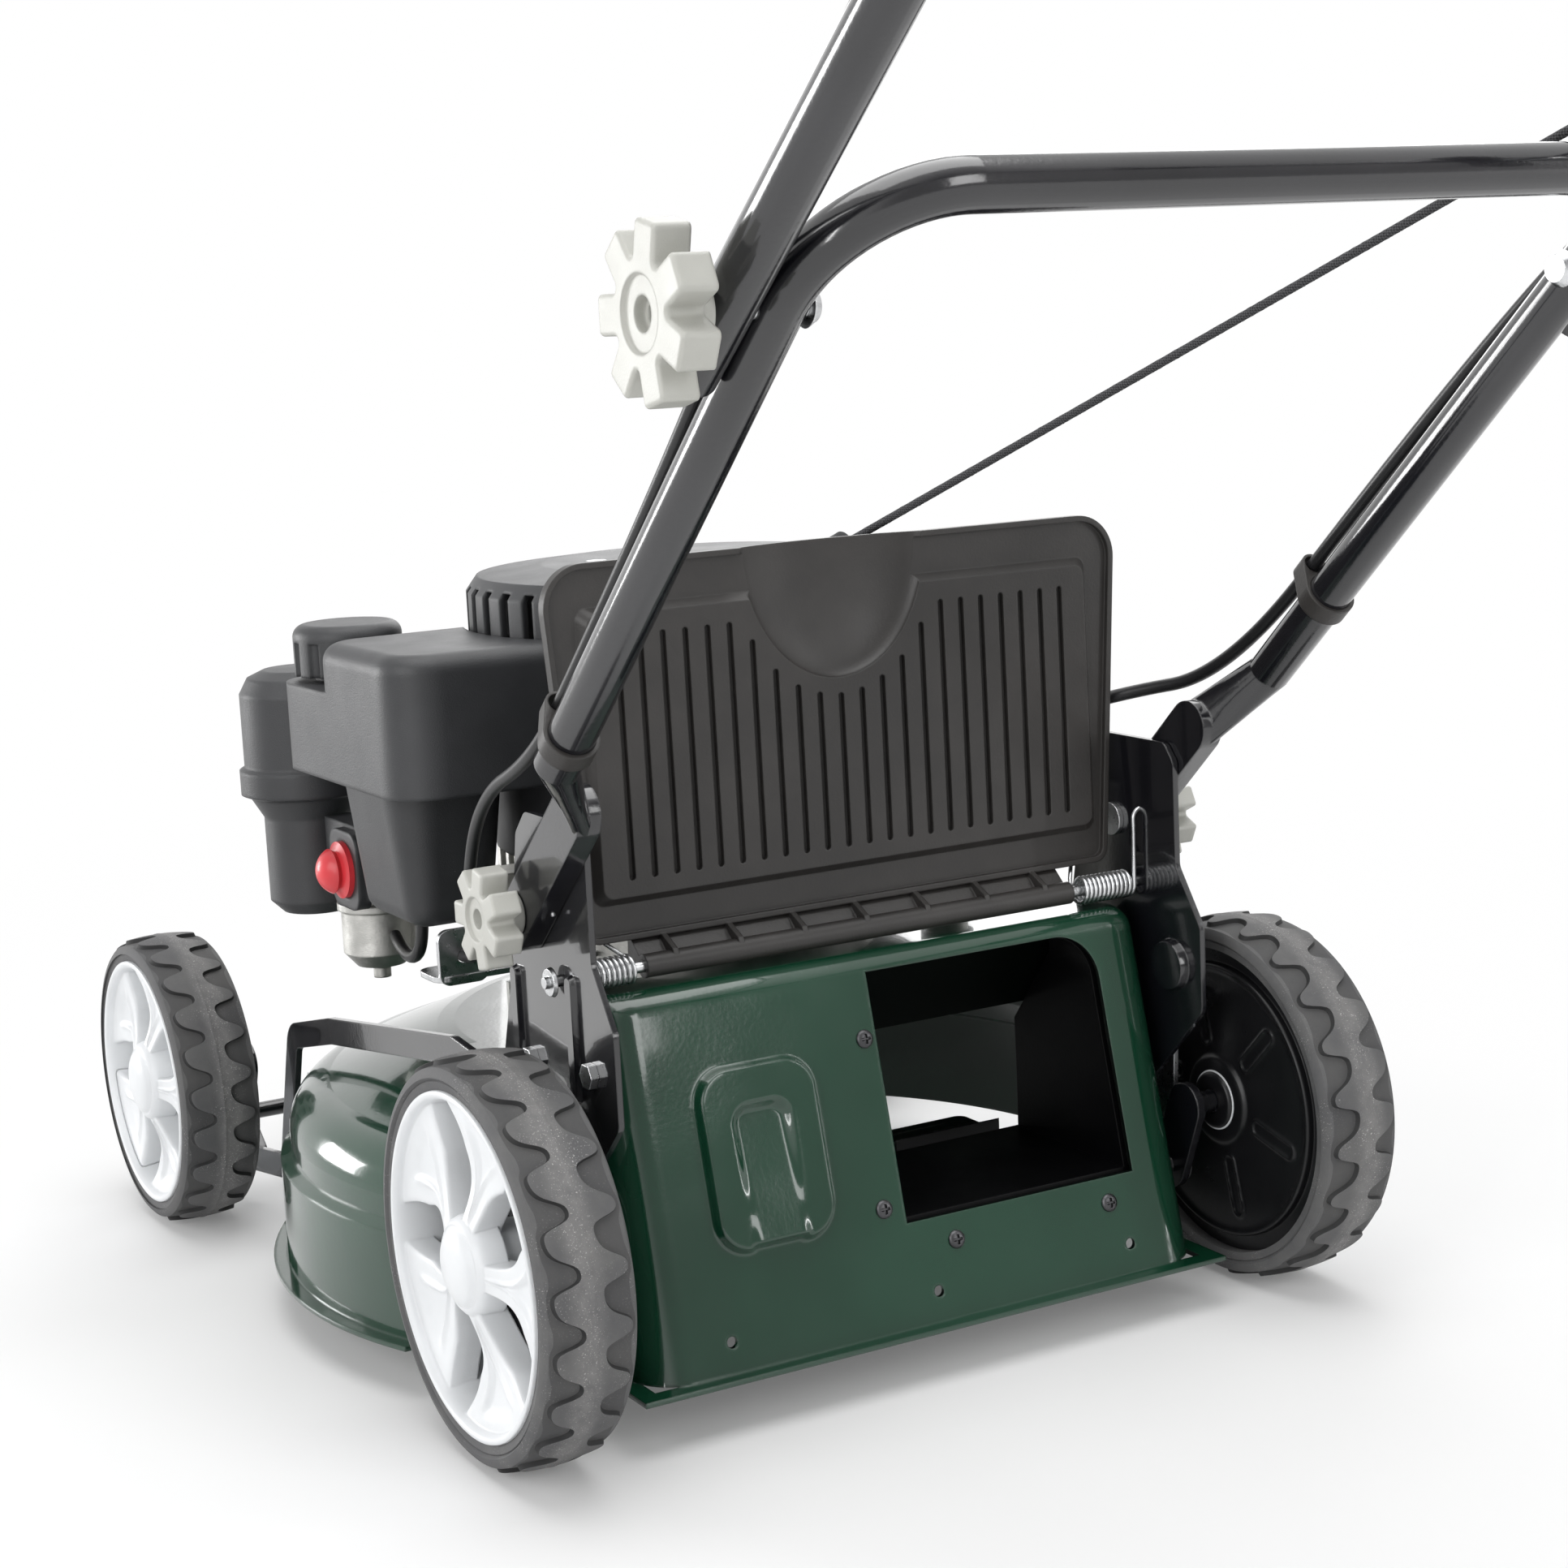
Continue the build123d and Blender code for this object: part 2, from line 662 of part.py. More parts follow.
# Handle loops
LEG_START = 128.0
FLAT_END = 84.0
FLAT_W = 28.0
FLAT_T = 12.0
FLAT_X = 174.6
leg_dir = Vector(0, -math.cos(math.radians(LOWER_SLOPE)), math.sin(math.radians(LOWER_SLOPE)))
with BuildPart() as lower_handle:
    start = along(LOWER_PIVOT, LOWER_SLOPE, LEG_START)
    with BuildLine() as loop:
        FilletPolyline(
            (LEG_X, *start),
            (LEG_X, *CROSS),
            (-LEG_X, *CROSS),
            (-LEG_X, *start),
            radius=58,
        )
    with BuildSketch(Plane(origin=loop.wire() @ 0, z_dir=loop.wire() % 0)):
        Circle(TUBE_R)
        Circle(TUBE_R - TUBE_WALL, mode=Mode.SUBTRACT)
    sweep(path=loop.wire())
    for side in (-1, 1):
        flat = along(LOWER_PIVOT, LOWER_SLOPE, FLAT_END)
        with BuildSketch(Plane(origin=(side * (FLAT_X + FLAT_T / 2), *flat), x_dir=(1, 0, 0), z_dir=leg_dir)):
            RectangleRounded(FLAT_T, FLAT_W, 5.9)
        with BuildSketch(Plane(origin=(side * LEG_X, *start), x_dir=(1, 0, 0), z_dir=leg_dir)):
            Circle(TUBE_R)
        loft()
        tip = along(LOWER_PIVOT, LOWER_SLOPE, -10)
        with BuildSketch(side_plane(side * FLAT_X)):
            lobe(tip, flat, FLAT_W / 2)
        extrude(amount=side * FLAT_T)
        with Locations(Location((side * FLAT_X, *LOWER_PIVOT), (0, 90, 0))):
            Cylinder(BOLT_R + RUN, 60, mode=Mode.SUBTRACT)
        with Locations(Location((side * LEG_X, *UPPER_PIVOT), (0, 90, 0))):
            Cylinder(BOLT_R + RUN, 40, mode=Mode.SUBTRACT)
write(lower_handle, "lower_handle")

UPPER_TAIL = -38.0
BAR = along(UPPER_PIVOT, UPPER_SLOPE, (HANDLE_BACK - 270.6) / math.cos(math.radians(UPPER_SLOPE)))
BAIL_PIVOT = along(UPPER_PIVOT, UPPER_SLOPE, 520)
with BuildPart() as upper_handle:
    tail = along(UPPER_PIVOT, UPPER_SLOPE, UPPER_TAIL)
    with BuildLine() as loop:
        FilletPolyline(
            (UPPER_X, *tail),
            (UPPER_X, *BAR),
            (-UPPER_X, *BAR),
            (-UPPER_X, *tail),
            radius=75,
        )
    with BuildSketch(Plane(origin=loop.wire() @ 0, z_dir=loop.wire() % 0)):
        Circle(TUBE_R)
        Circle(TUBE_R - TUBE_WALL, mode=Mode.SUBTRACT)
    sweep(path=loop.wire())
    for side in (-1, 1):
        with Locations(Location((side * UPPER_X, *UPPER_PIVOT), (0, 90, 0))):
            Cylinder(BOLT_R + RUN, 40, mode=Mode.SUBTRACT)
        with Locations(Location((side * UPPER_X, *BAIL_PIVOT), (0, 90, 0))):
            Cylinder(4 + RUN, 40, mode=Mode.SUBTRACT)
write(upper_handle, "upper_handle")

with BuildPart() as upper_bolts:
    for side in (-1, 1):
        with BuildSketch(side_plane(side * (LEG_X - TUBE_R - 0.8))):
            with Locations(UPPER_PIVOT):
                Circle(8.5)
        extrude(amount=-side * 4, taper=30)
        with BuildSketch(side_plane(side * (LEG_X - TUBE_R - 1.5))):
            with Locations(UPPER_PIVOT):
                Circle(BOLT_R)
        extrude(amount=side * 60)
write(upper_bolts, "upper_bolts")

with BuildPart() as foam_grip:
    with Locations(Location((0, *BAR), (0, 90, 0))):
        Cylinder(GRIP_R, 290)
        Cylinder(TUBE_R, 300, mode=Mode.SUBTRACT)
    rims = foam_grip.edges().filter_by(GeomType.CIRCLE)
    fillet(rims.filter_by(lambda e: abs(e.radius - GRIP_R) < 0.1), radius=3)
write(foam_grip, "foam_grip")


upper_dir = Vector(0, -math.cos(math.radians(UPPER_SLOPE)), math.sin(math.radians(UPPER_SLOPE)))


def star_knob(side, x, pivot, radius, depth):
    """Clamping knob with seven square lobes, a dished face and a hole to its nut."""
    lobe = radius * 0.46
    with BuildPart() as knob:
        with BuildSketch(side_plane(side * x)):
            with Locations(pivot):
                Circle(radius * 0.42)
        extrude(amount=side * depth * 0.45)
        with BuildSketch(side_plane(side * (x + depth * 0.35))):
            with Locations(pivot):
                with PolarLocations(radius * 0.56, 7):
                    Rectangle(radius * 0.88, lobe)
            fillet(vertices(), radius=radius * 0.07)
        extrude(amount=side * depth * 0.65)
        fillet(knob.faces().sort_by(Axis.X, reverse=side > 0)[0].edges(), radius=radius * 0.05)
        with BuildSketch(side_plane(side * (x + depth - 1.6))):
            with Locations(pivot):
                Circle(radius * 0.42)
        extrude(amount=side * 4, taper=-20, mode=Mode.SUBTRACT)
        with BuildSketch(side_plane(side * (x + depth - 6))):
            with Locations(pivot):
                Circle(radius * 0.20)
        extrude(amount=side * 10, mode=Mode.SUBTRACT)
        with Locations(Location((side * x, *pivot), (0, 90, 0))):
            Cylinder(BOLT_R + RUN, 2 * depth - 8, mode=Mode.SUBTRACT)
    return knob


for side, hand in ((-1, "left"), (1, "right")):
    lower_knob = star_knob(side, FLAT_X + FLAT_T + 0.4, LOWER_PIVOT, 25, 22)
    write(lower_knob, f"lower_{hand}_knob")
    upper_knob = star_knob(side, UPPER_X + TUBE_R + 0.4, UPPER_PIVOT, 34, 24)
    write(upper_knob, f"upper_{hand}_knob")

# Bail lever: a bent rod whose ends turn out into the legs.
BAIL_RISE = 62.0
bail_top = along(UPPER_PIVOT, UPPER_SLOPE, 640)
normal = Vector(0, math.sin(math.radians(UPPER_SLOPE)), math.cos(math.radians(UPPER_SLOPE)))
raised = (bail_top[0] + BAIL_RISE * normal.Y, bail_top[1] + BAIL_RISE * normal.Z)
with BuildPart() as bail_lever:
    with BuildLine() as rod:
        FilletPolyline(
            (UPPER_X + 6, *BAIL_PIVOT),
            (UPPER_X - 20, *BAIL_PIVOT),
            (UPPER_X - 34, *raised),
            (-UPPER_X + 34, *raised),
            (-UPPER_X + 20, *BAIL_PIVOT),
            (-UPPER_X - 6, *BAIL_PIVOT),
            radius=8,
        )
    with BuildSketch(Plane(origin=rod.wire() @ 0, z_dir=rod.wire() % 0)):
        Circle(4)
    sweep(path=rod.wire())
write(bail_lever, "bail_lever")

# Starter rope, from the recoil cover to a guide on the right leg.
ROPE_FROM = Vector(30, REAR_Y + 90, 412)
ROPE_TO = Vector(186, REAR_Y - 381, 632)
ROPE_R = 2.2
rope_dir = (ROPE_TO - ROPE_FROM).normalized()
with BuildPart() as starter_rope:
    with BuildSketch(Plane(origin=ROPE_FROM, z_dir=rope_dir)):
        Circle(ROPE_R)
    extrude(amount=(ROPE_TO - ROPE_FROM).length + 10.4)
write(starter_rope, "starter_rope")

# The rope's grip hangs on the guide, and slides out along the rope.
GUIDE_T = 8.0
guide_run = (UPPER_PIVOT[0] - ROPE_TO.Y) / math.cos(math.radians(UPPER_SLOPE))
guide_at = Vector(UPPER_X, *along(UPPER_PIVOT, UPPER_SLOPE, guide_run))
guide_arm = (guide_at - ROPE_TO).normalized()
with BuildPart() as rope_guide:
    with BuildSketch(Plane(origin=ROPE_TO, z_dir=rope_dir)):
        Circle(8)
    extrude(amount=GUIDE_T)
    with BuildSketch(Plane(origin=ROPE_TO + rope_dir * 4 + guide_arm * 4, z_dir=guide_arm)):
        Circle(3.5)
    extrude(amount=(guide_at - ROPE_TO).length - TUBE_R - 5)
    with BuildSketch(Plane(origin=guide_at - upper_dir * 4, x_dir=(1, 0, 0), z_dir=upper_dir)):
        Circle(TUBE_R + 3)
    extrude(amount=14)
    with BuildSketch(Plane(origin=guide_at - upper_dir * 5, x_dir=(1, 0, 0), z_dir=upper_dir)):
        Circle(TUBE_R + 0.02)
    extrude(amount=16, mode=Mode.SUBTRACT)
    with BuildSketch(Plane(origin=ROPE_TO - rope_dir, z_dir=rope_dir)):
        Circle(ROPE_R + 0.5)
    extrude(amount=GUIDE_T + 2, mode=Mode.SUBTRACT)
write(rope_guide, "rope_guide")

grip_from = ROPE_TO + rope_dir * (GUIDE_T + 2.4)
with BuildPart() as starter_grip:
    with BuildSketch(Plane(origin=grip_from, z_dir=rope_dir)):
        Circle(7)
    with BuildSketch(Plane(origin=grip_from + rope_dir * 16, z_dir=rope_dir)):
        Circle(10)
    loft()
    with BuildSketch(Plane(origin=grip_from + rope_dir * 14, x_dir=(0, 0, 1), z_dir=rope_dir)):
        SlotOverall(96, 22)
    extrude(amount=20)
    fillet(starter_grip.edges().filter_by(lambda e: (e.center() - grip_from).dot(rope_dir) > 33), radius=4)
write(starter_grip, "starter_grip")

# Engine
CRANK_R = 12.5
BLOCK_R = 92.0
CYLINDER_Z = ENGINE_Z + 55
OIL_AT = (112.0, BLADE_Y - 72.0)
with BuildPart() as engine_block:
    with Locations((0, BLADE_Y, ENGINE_Z)):
        Cylinder(104, 8, align=(Align.CENTER, Align.CENTER, Align.MIN))
        Cylinder(BLOCK_R, 86, align=(Align.CENTER, Align.CENTER, Align.MIN))
    with Locations((0, BLADE_Y + 122, CYLINDER_Z)):
        Box(82, 110, 70)
        for station in range(7):
            with Locations((0, station * 12 - 24, 0)):
                Box(108, 4, 84)
    with Locations((0, BLADE_Y + 178, CYLINDER_Z)):
        Box(96, 12, 78)
    with Locations((*OIL_AT, 186)):
        Cylinder(12, 50, align=(Align.CENTER, Align.CENTER, Align.MIN))
    with Locations((OIL_AT[0] - 22, OIL_AT[1] + 14, 196)):
        Box(44, 22, 20)
    with Locations((0, BLADE_Y, 200)):
        Cylinder(CRANK_R + RUN, 200, mode=Mode.SUBTRACT)
write(engine_block, "engine_block")

PLUG_PIN_R = 3.175
PLUG_PIN_END = 46.0
with BuildPart() as spark_plug:
    with Locations(Location((0, BLADE_Y + 184, CYLINDER_Z + 4), (-90, 0, 0))):
        Cylinder(10, 8, align=(Align.CENTER, Align.CENTER, Align.MIN))
        Cylinder(6, 34, align=(Align.CENTER, Align.CENTER, Align.MIN))
        Cylinder(PLUG_PIN_R, PLUG_PIN_END, align=(Align.CENTER, Align.CENTER, Align.MIN))
write(spark_plug, "spark_plug")

# Blower housing over the flywheel, and the recoil cover on top of it.
HOUSING_R = 118.0
HOUSING_Z = (251.0, 352.0)
COVER_R = 126.0
COVER_TOP = 405.0
DUCT_WIDE = 132.0
DUCT_REACH = 200.0
DUCT_TOP = 346.0


def duct_form(inset, back, foot):
    """The duct over the cylinder's head, or its hollow when drawn in by an inset."""
    top = DUCT_TOP - inset
    front = BLADE_Y + DUCT_REACH - inset
    with BuildPart() as form:
        with Locations((0, (back + front) / 2, (foot + top) / 2)):
            Box(DUCT_WIDE - 2 * inset, front - back, top - foot)
        rounded = form.edges().filter_by(
            lambda e: e.center().Y > back + 1 and (e.center().Y > front - 1 or e.center().Z > top - 1)
        )
        fillet(rounded, radius=12 - inset)
    return form.part


with BuildPart() as duct:
    add(duct_form(0.0, BLADE_Y + 100, 270))
    add(duct_form(3.0, BLADE_Y + 93, 260), mode=Mode.SUBTRACT)
    with Locations((0, BLADE_Y, 300)):
        Cylinder(HOUSING_R + 0.5, 140, mode=Mode.SUBTRACT)

with BuildPart() as blower_housing:
    with BuildSketch(Plane(origin=(0, BLADE_Y, 0), x_dir=(1, 0, 0), z_dir=(0, -1, 0))):
        with BuildLine():
            Polyline(
                (HOUSING_R - 3, HOUSING_Z[0]),
                (HOUSING_R, HOUSING_Z[0]),
                (HOUSING_R + 4, HOUSING_Z[1]),
                (96, HOUSING_Z[1]),
                (96, HOUSING_Z[1] - 3),
                (HOUSING_R + 0.8, HOUSING_Z[1] - 3),
                close=True,
            )
        make_face()
    revolve(axis=Axis((0, BLADE_Y, 0), (0, 0, 1)))
    add(duct.part)
    with Locations((0, BLADE_Y + 116, 296)):
        Box(96, 30, 60, mode=Mode.SUBTRACT)
write(blower_housing, "blower_housing")

VENTS = 40
with BuildPart() as recoil_cover:
    with BuildSketch(Plane(origin=(0, BLADE_Y, 0), x_dir=(1, 0, 0), z_dir=(0, -1, 0))):
        with BuildLine():
            Polyline(
                (COVER_R - 4, HOUSING_Z[1]),
                (COVER_R, HOUSING_Z[1]),
                (COVER_R, COVER_TOP - 12),
                (COVER_R - 6, COVER_TOP - 4),
                (84, COVER_TOP),
                (0, COVER_TOP),
                (0, COVER_TOP - 4),
                (83, COVER_TOP - 4),
                (COVER_R - 9, COVER_TOP - 8),
                (COVER_R - 4, COVER_TOP - 13),
                close=True,
            )
        make_face()
    revolve(axis=Axis((0, BLADE_Y, 0), (0, 0, 1)))
    with Locations((0, BLADE_Y, HOUSING_Z[1] + 26)):
        with PolarLocations(COVER_R, VENTS):
            Box(16, 8, 36, mode=Mode.SUBTRACT)
    with BuildSketch(Plane(origin=ROPE_FROM - rope_dir * 18, z_dir=rope_dir)):
        Circle(ROPE_R + 5)
    extrude(amount=24)
    with BuildSketch(Plane(origin=ROPE_FROM - rope_dir * 2, z_dir=rope_dir)):
        Circle(ROPE_R + 0.5)
    extrude(amount=20, mode=Mode.SUBTRACT)
    with Locations((0, BLADE_Y, COVER_TOP - 30)):
        Cylinder(COVER_R - 16, 40, mode=Mode.SUBTRACT)
write(recoil_cover, "recoil_cover")

# Crankshaft with flywheel above and blade below.
BLADE_Z = 40.0
with BuildPart() as crankshaft:
    with Locations((0, BLADE_Y, BLADE_Z + 6)):
        Cylinder(CRANK_R, 280, align=(Align.CENTER, Align.CENTER, Align.MIN))
write(crankshaft, "crankshaft")

with BuildPart() as flywheel:
    with Locations((0, BLADE_Y, 262)):
        Cylinder(86, 26, align=(Align.CENTER, Align.CENTER, Align.MIN))
        with PolarLocations(76, 16):
            with Locations((0, 0, 26)):
                Box(30, 4, 22, align=(Align.CENTER, Align.CENTER, Align.MIN))
        Cylinder(CRANK_R, 60, mode=Mode.SUBTRACT)
write(flywheel, "flywheel")

with BuildPart() as blade_adapter:
    with Locations((0, BLADE_Y, BLADE_Z + 4)):
        Cylinder(36, 6, align=(Align.CENTER, Align.CENTER, Align.MIN))
        Cylinder(22, 40, align=(Align.CENTER, Align.CENTER, Align.MIN))
        with Locations((0, 0, 2)):
            Cylinder(CRANK_R, 60, align=(Align.CENTER, Align.CENTER, Align.MIN), mode=Mode.SUBTRACT)
        Cylinder(5, 60, mode=Mode.SUBTRACT)
write(blade_adapter, "blade_adapter")

BLADE_L = 360.0
with BuildPart() as blade:
    with BuildSketch(Plane.XY.offset(BLADE_Z)):
        with Locations((0, BLADE_Y)):
            RectangleRounded(BLADE_L, 54, 6)
            Circle(5.0, mode=Mode.SUBTRACT)
    extrude(amount=4)
    for side in (-1, 1):
        with BuildSketch(Plane.YZ.offset(side * (BLADE_L / 2 - 80))):
            with BuildLine():
                back = -side * 27
                Polyline(
                    (BLADE_Y + back, BLADE_Z + 1),
                    (BLADE_Y + back * 0.4, BLADE_Z + 1),
                    (BLADE_Y + back * 0.4, BLADE_Z + 4),
                    (BLADE_Y + back, BLADE_Z + 16),
                    close=True,
                )
            make_face()
        extrude(amount=side * 72)
write(blade, "blade")

with BuildPart() as blade_bolt:
    with BuildSketch(Plane.XY.offset(BLADE_Z)):
        with Locations((0, BLADE_Y)):
            RegularPolygon(11, 6)
    extrude(amount=-9)
    with BuildSketch(Plane.XY.offset(BLADE_Z)):
        with Locations((0, BLADE_Y)):
            Circle(5)
    extrude(amount=6)
write(blade_bolt, "blade_bolt")

# Fuel tank in two tiers, hollowed round the blower housing.
TANK_LEFT = -209.0
TANK_BACK = REAR_Y + 128.0
CAP_AT = (-174.0, REAR_Y + 280.0)
CAP_R = 30.0
with BuildPart() as fuel_tank:
    with BuildSketch(Plane.XY.offset(300)):
        with Locations((TANK_LEFT + 55, TANK_BACK + 60)):
            RectangleRounded(110, 120, 26)
    extrude(amount=74)
    with BuildSketch(Plane.XY.offset(300)):
        with Locations((TANK_LEFT + 40, TANK_BACK + 100)):
            RectangleRounded(80, 160, 26)
    extrude(amount=48)
    fillet(fuel_tank.edges().group_by(Axis.Z)[-1], radius=10)
    with BuildSketch(Plane.XY.offset(300)):
        with Locations((TANK_LEFT + 40, TANK_BACK + 70)):
            RectangleRounded(66, 92, 22)
    extrude(amount=-74, taper=7)
    fillet(fuel_tank.edges().group_by(Axis.Z)[0], radius=12)
    with Locations((*CAP_AT, 348)):
        Cylinder(19, 8, align=(Align.CENTER, Align.CENTER, Align.MIN))
    with Locations((0, BLADE_Y, 330)):
        Cylinder(COVER_R + 3, 240, mode=Mode.SUBTRACT)
write(fuel_tank, "fuel_tank")

with BuildPart() as fuel_cap:
    with BuildSketch(Plane.XY.offset(351)):
        with Locations(CAP_AT):
            Circle(CAP_R)
            with PolarLocations(CAP_R + 1.5, 12):
                Circle(4, mode=Mode.SUBTRACT)
    extrude(amount=19)
    with BuildSketch(Plane.XY.offset(370)):
        with Locations(CAP_AT):
            Circle(CAP_R)
    extrude(amount=9)
    fillet(fuel_cap.edges().group_by(Axis.Z)[-1], radius=7)
    with Locations((*CAP_AT, 346)):
        Cylinder(19.4, 20, mode=Mode.SUBTRACT)
write(fuel_cap, "fuel_cap")

# Air filter canister, its base carrying the primer.
FILTER_AT = (-176.0, REAR_Y + 354.0)
FILTER_FOOT_R = 27.0
with BuildPart() as air_filter:
    with BuildSketch(Plane(origin=(*FILTER_AT, 0), x_dir=(1, 0, 0), z_dir=(0, -1, 0))):
        with BuildLine():
            Polyline(
                (0, 206), (20, 206), (FILTER_FOOT_R, 213), (FILTER_FOOT_R, 262), (34, 274), (39, 276),
                (39, 290), (36, 292), (36, 334), (31, 343), (22, 347), (0, 348), close=True,
            )
        make_face()
    revolve(axis=Axis((*FILTER_AT, 0), (0, 0, 1)))
write(air_filter, "air_filter")

PRIMER_AT = (REAR_Y + 280.0, 241.0)
PRIMER_R = 16.0
with BuildPart() as primer_base:
    with BuildSketch(side_plane(-178)):
        with Locations(PRIMER_AT):
            RectangleRounded(40, 44, 10)
    extrude(amount=-8)
    with Locations((-160, REAR_Y + 290, 245)):
        Box(40, 64, 40)
    with Locations((*FILTER_AT, 245)):
        Cylinder(FILTER_FOOT_R, 80, mode=Mode.SUBTRACT)
    with BuildSketch(side_plane(-176)):
        with Locations(PRIMER_AT):
            Circle(PRIMER_R + RUN)
    extrude(amount=-16, mode=Mode.SUBTRACT)
write(primer_base, "primer_base")

dome_foot = math.sqrt(14**2 - 6**2)
with BuildPart() as primer_bulb:
    with BuildSketch(Plane(origin=(-184, *PRIMER_AT), x_dir=(1, 0, 0), z_dir=(0, -1, 0))):
        with BuildLine():
            Polyline((0, 0), (0, PRIMER_R), (-5, PRIMER_R), (-7.5, 11), (-10, dome_foot))
            ThreePointArc((-10, dome_foot), (-4 - 14 * math.sqrt(0.5), 14 * math.sqrt(0.5)), (-18, 0))
            Line((-18, 0), (0, 0))
        make_face()
    revolve(axis=Axis((-184, *PRIMER_AT), (1, 0, 0)))
write(primer_bulb, "primer_bulb")

CARB_AT = (-160.0, REAR_Y + 300.0)
with BuildPart() as carburettor:
    with BuildSketch(Plane(origin=(*CARB_AT, 0), x_dir=(1, 0, 0), z_dir=(0, -1, 0))):
        with BuildLine():
            Polyline(
                (0, 172), (5, 172), (5, 178), (14, 180), (21, 188), (21, 212), (23, 213),
                (23, 217), (18, 217), (18, 224), (0, 224), close=True,
            )
        make_face()
    revolve(axis=Axis((*CARB_AT, 0), (0, 0, 1)))
    with Locations((-118, CARB_AT[1], 212)):
        Box(100, 26, 22)
    with Locations((0, BLADE_Y + 122, CYLINDER_Z)):
        Box(109, 140, 92, mode=Mode.SUBTRACT)
write(carburettor, "carburettor")

with BuildPart() as muffler:
    with Locations((140, BLADE_Y + 96, 206)):
        Box(72, 120, 84)
    fillet(muffler.edges(), radius=14)
    with Locations((84, BLADE_Y + 120, 208)):
        Box(62, 34, 34)
    for station in range(5):
        with Locations((176, BLADE_Y + 52 + station * 22, 206)):
            Box(4, 8, 62, mode=Mode.SUBTRACT)
    with Locations((0, BLADE_Y + 122, CYLINDER_Z)):
        Box(109, 140, 92, mode=Mode.SUBTRACT)
write(muffler, "muffler")

with BuildPart() as oil_cap:
    with Locations((*OIL_AT, 236.3)):
        Cylinder(15, 8, align=(Align.CENTER, Align.CENTER, Align.MIN))
        Box(9, 26, 22, align=(Align.CENTER, Align.CENTER, Align.MIN))
write(oil_cap, "oil_cap")

# Bracket on the crankcase that ends the brake cable.
with BuildPart() as brake_bracket:
    with BuildSketch(Plane.XY.offset(196)):
        with Locations((-134, REAR_Y + 178)):
            RectangleRounded(96, 30, 8)
    extrude(amount=3)
    with BuildSketch(Plane.XZ.offset(-(REAR_Y + 164))):
        with Locations((-166, 209)):
            RectangleRounded(28, 30, 6)
            Circle(3.6, mode=Mode.SUBTRACT)
    extrude(amount=-3)
    with Locations((0, BLADE_Y, 200)):
        Cylinder(BLOCK_R, 140, mode=Mode.SUBTRACT)
write(brake_bracket, "brake_bracket")

# Screws and bolts of the deck, brackets and engine, and the carriage bolts that the lower handle folds on.
with BuildPart() as fasteners:
    for side in (-1, 1):
        with BuildSketch(side_plane(side * 174.2)):
            with Locations((REAR_Y + 60, 118), (REAR_Y + 62, 176), (REAR_Y - 6, 182)):
                RegularPolygon(6.5, 6)
        extrude(amount=side * 4.5)
        with BuildSketch(side_plane(side * 168)):
            with Locations(LOWER_PIVOT):
                Circle(9)
        extrude(amount=side * 3)
        with BuildSketch(side_plane(side * 170)):
            with Locations(LOWER_PIVOT):
                Circle(BOLT_R)
        extrude(amount=side * 33)
    with BuildSketch(Plane.XY.offset(ENGINE_Z + 8)):
        with Locations((0, BLADE_Y)):
            with PolarLocations(98, 4, 45):
                RegularPolygon(5.5, 6)
    extrude(amount=6)
    with BuildSketch(Plane.XY.offset(COVER_TOP)):
        with Locations((0, BLADE_Y)):
            with PolarLocations(76, 3, 200):
                RegularPolygon(6, 6)
    extrude(amount=5)
write(fasteners, "fasteners")


# Cables
def bends(points):
    """Largest even bend at each corner of a route, from its two runs."""
    radii = []
    for before, here, after in zip(points, points[1:], points[2:]):
        run = min((here - before).length, (after - here).length)
        turn = math.radians((here - before).get_angle(after - here))
        radii.append(min(400.0, 0.45 * run / math.tan(turn / 2)))
    return radii


def cable(points, radius):
    radii = bends(points)
    with BuildPart() as tube:
        with BuildLine() as path:
            FilletPolyline(*points, radius=radii)
        with BuildSketch(Plane(origin=path.wire() @ 0, z_dir=path.wire() % 0)):
            Circle(radius)
        sweep(path=path.wire())
    print("cable bends, mm:", [round(r) for r in radii])
    return tube


def beside(side, x, pivot, slope, run, off):
    """Point beside a leg: up along it by run, and off it towards the engine."""
    angle = math.radians(slope)
    y, z = along(pivot, slope, run)
    return Vector(side * x, y + off * math.sin(angle), z + off * math.cos(angle))


BRAKE_R = 3.2
THROTTLE_R = 3.6
CABLE_OFF = 17.0
brake_cable = cable(
    [
        Vector(-166, REAR_Y + 166, 209),
        Vector(-166, REAR_Y + 140, 209),
        Vector(-184, REAR_Y + 114, 246),
        Vector(-198, REAR_Y + 56, 312),
        beside(-1, LEG_X, LOWER_PIVOT, LOWER_SLOPE, 110, CABLE_OFF),
        beside(-1, LEG_X, LOWER_PIVOT, LOWER_SLOPE, 375, CABLE_OFF),
        beside(-1, UPPER_X, UPPER_PIVOT, UPPER_SLOPE, 70, CABLE_OFF),
        beside(-1, UPPER_X, UPPER_PIVOT, UPPER_SLOPE, 505, CABLE_OFF),
    ],
    BRAKE_R,
)
write(brake_cable, "brake_cable")
throttle_cable = cable(
    [
        Vector(92, REAR_Y + 121, 296),
        Vector(118, REAR_Y + 100, 300),
        Vector(178, REAR_Y + 50, 322),
        beside(1, LEG_X, LOWER_PIVOT, LOWER_SLOPE, 100, CABLE_OFF + 2),
        beside(1, LEG_X, LOWER_PIVOT, LOWER_SLOPE, 375, CABLE_OFF),
        beside(1, UPPER_X, UPPER_PIVOT, UPPER_SLOPE, 70, CABLE_OFF),
        beside(1, UPPER_X, UPPER_PIVOT, UPPER_SLOPE, 430, CABLE_OFF),
    ],
    THROTTLE_R,
)
write(throttle_cable, "throttle_cable")

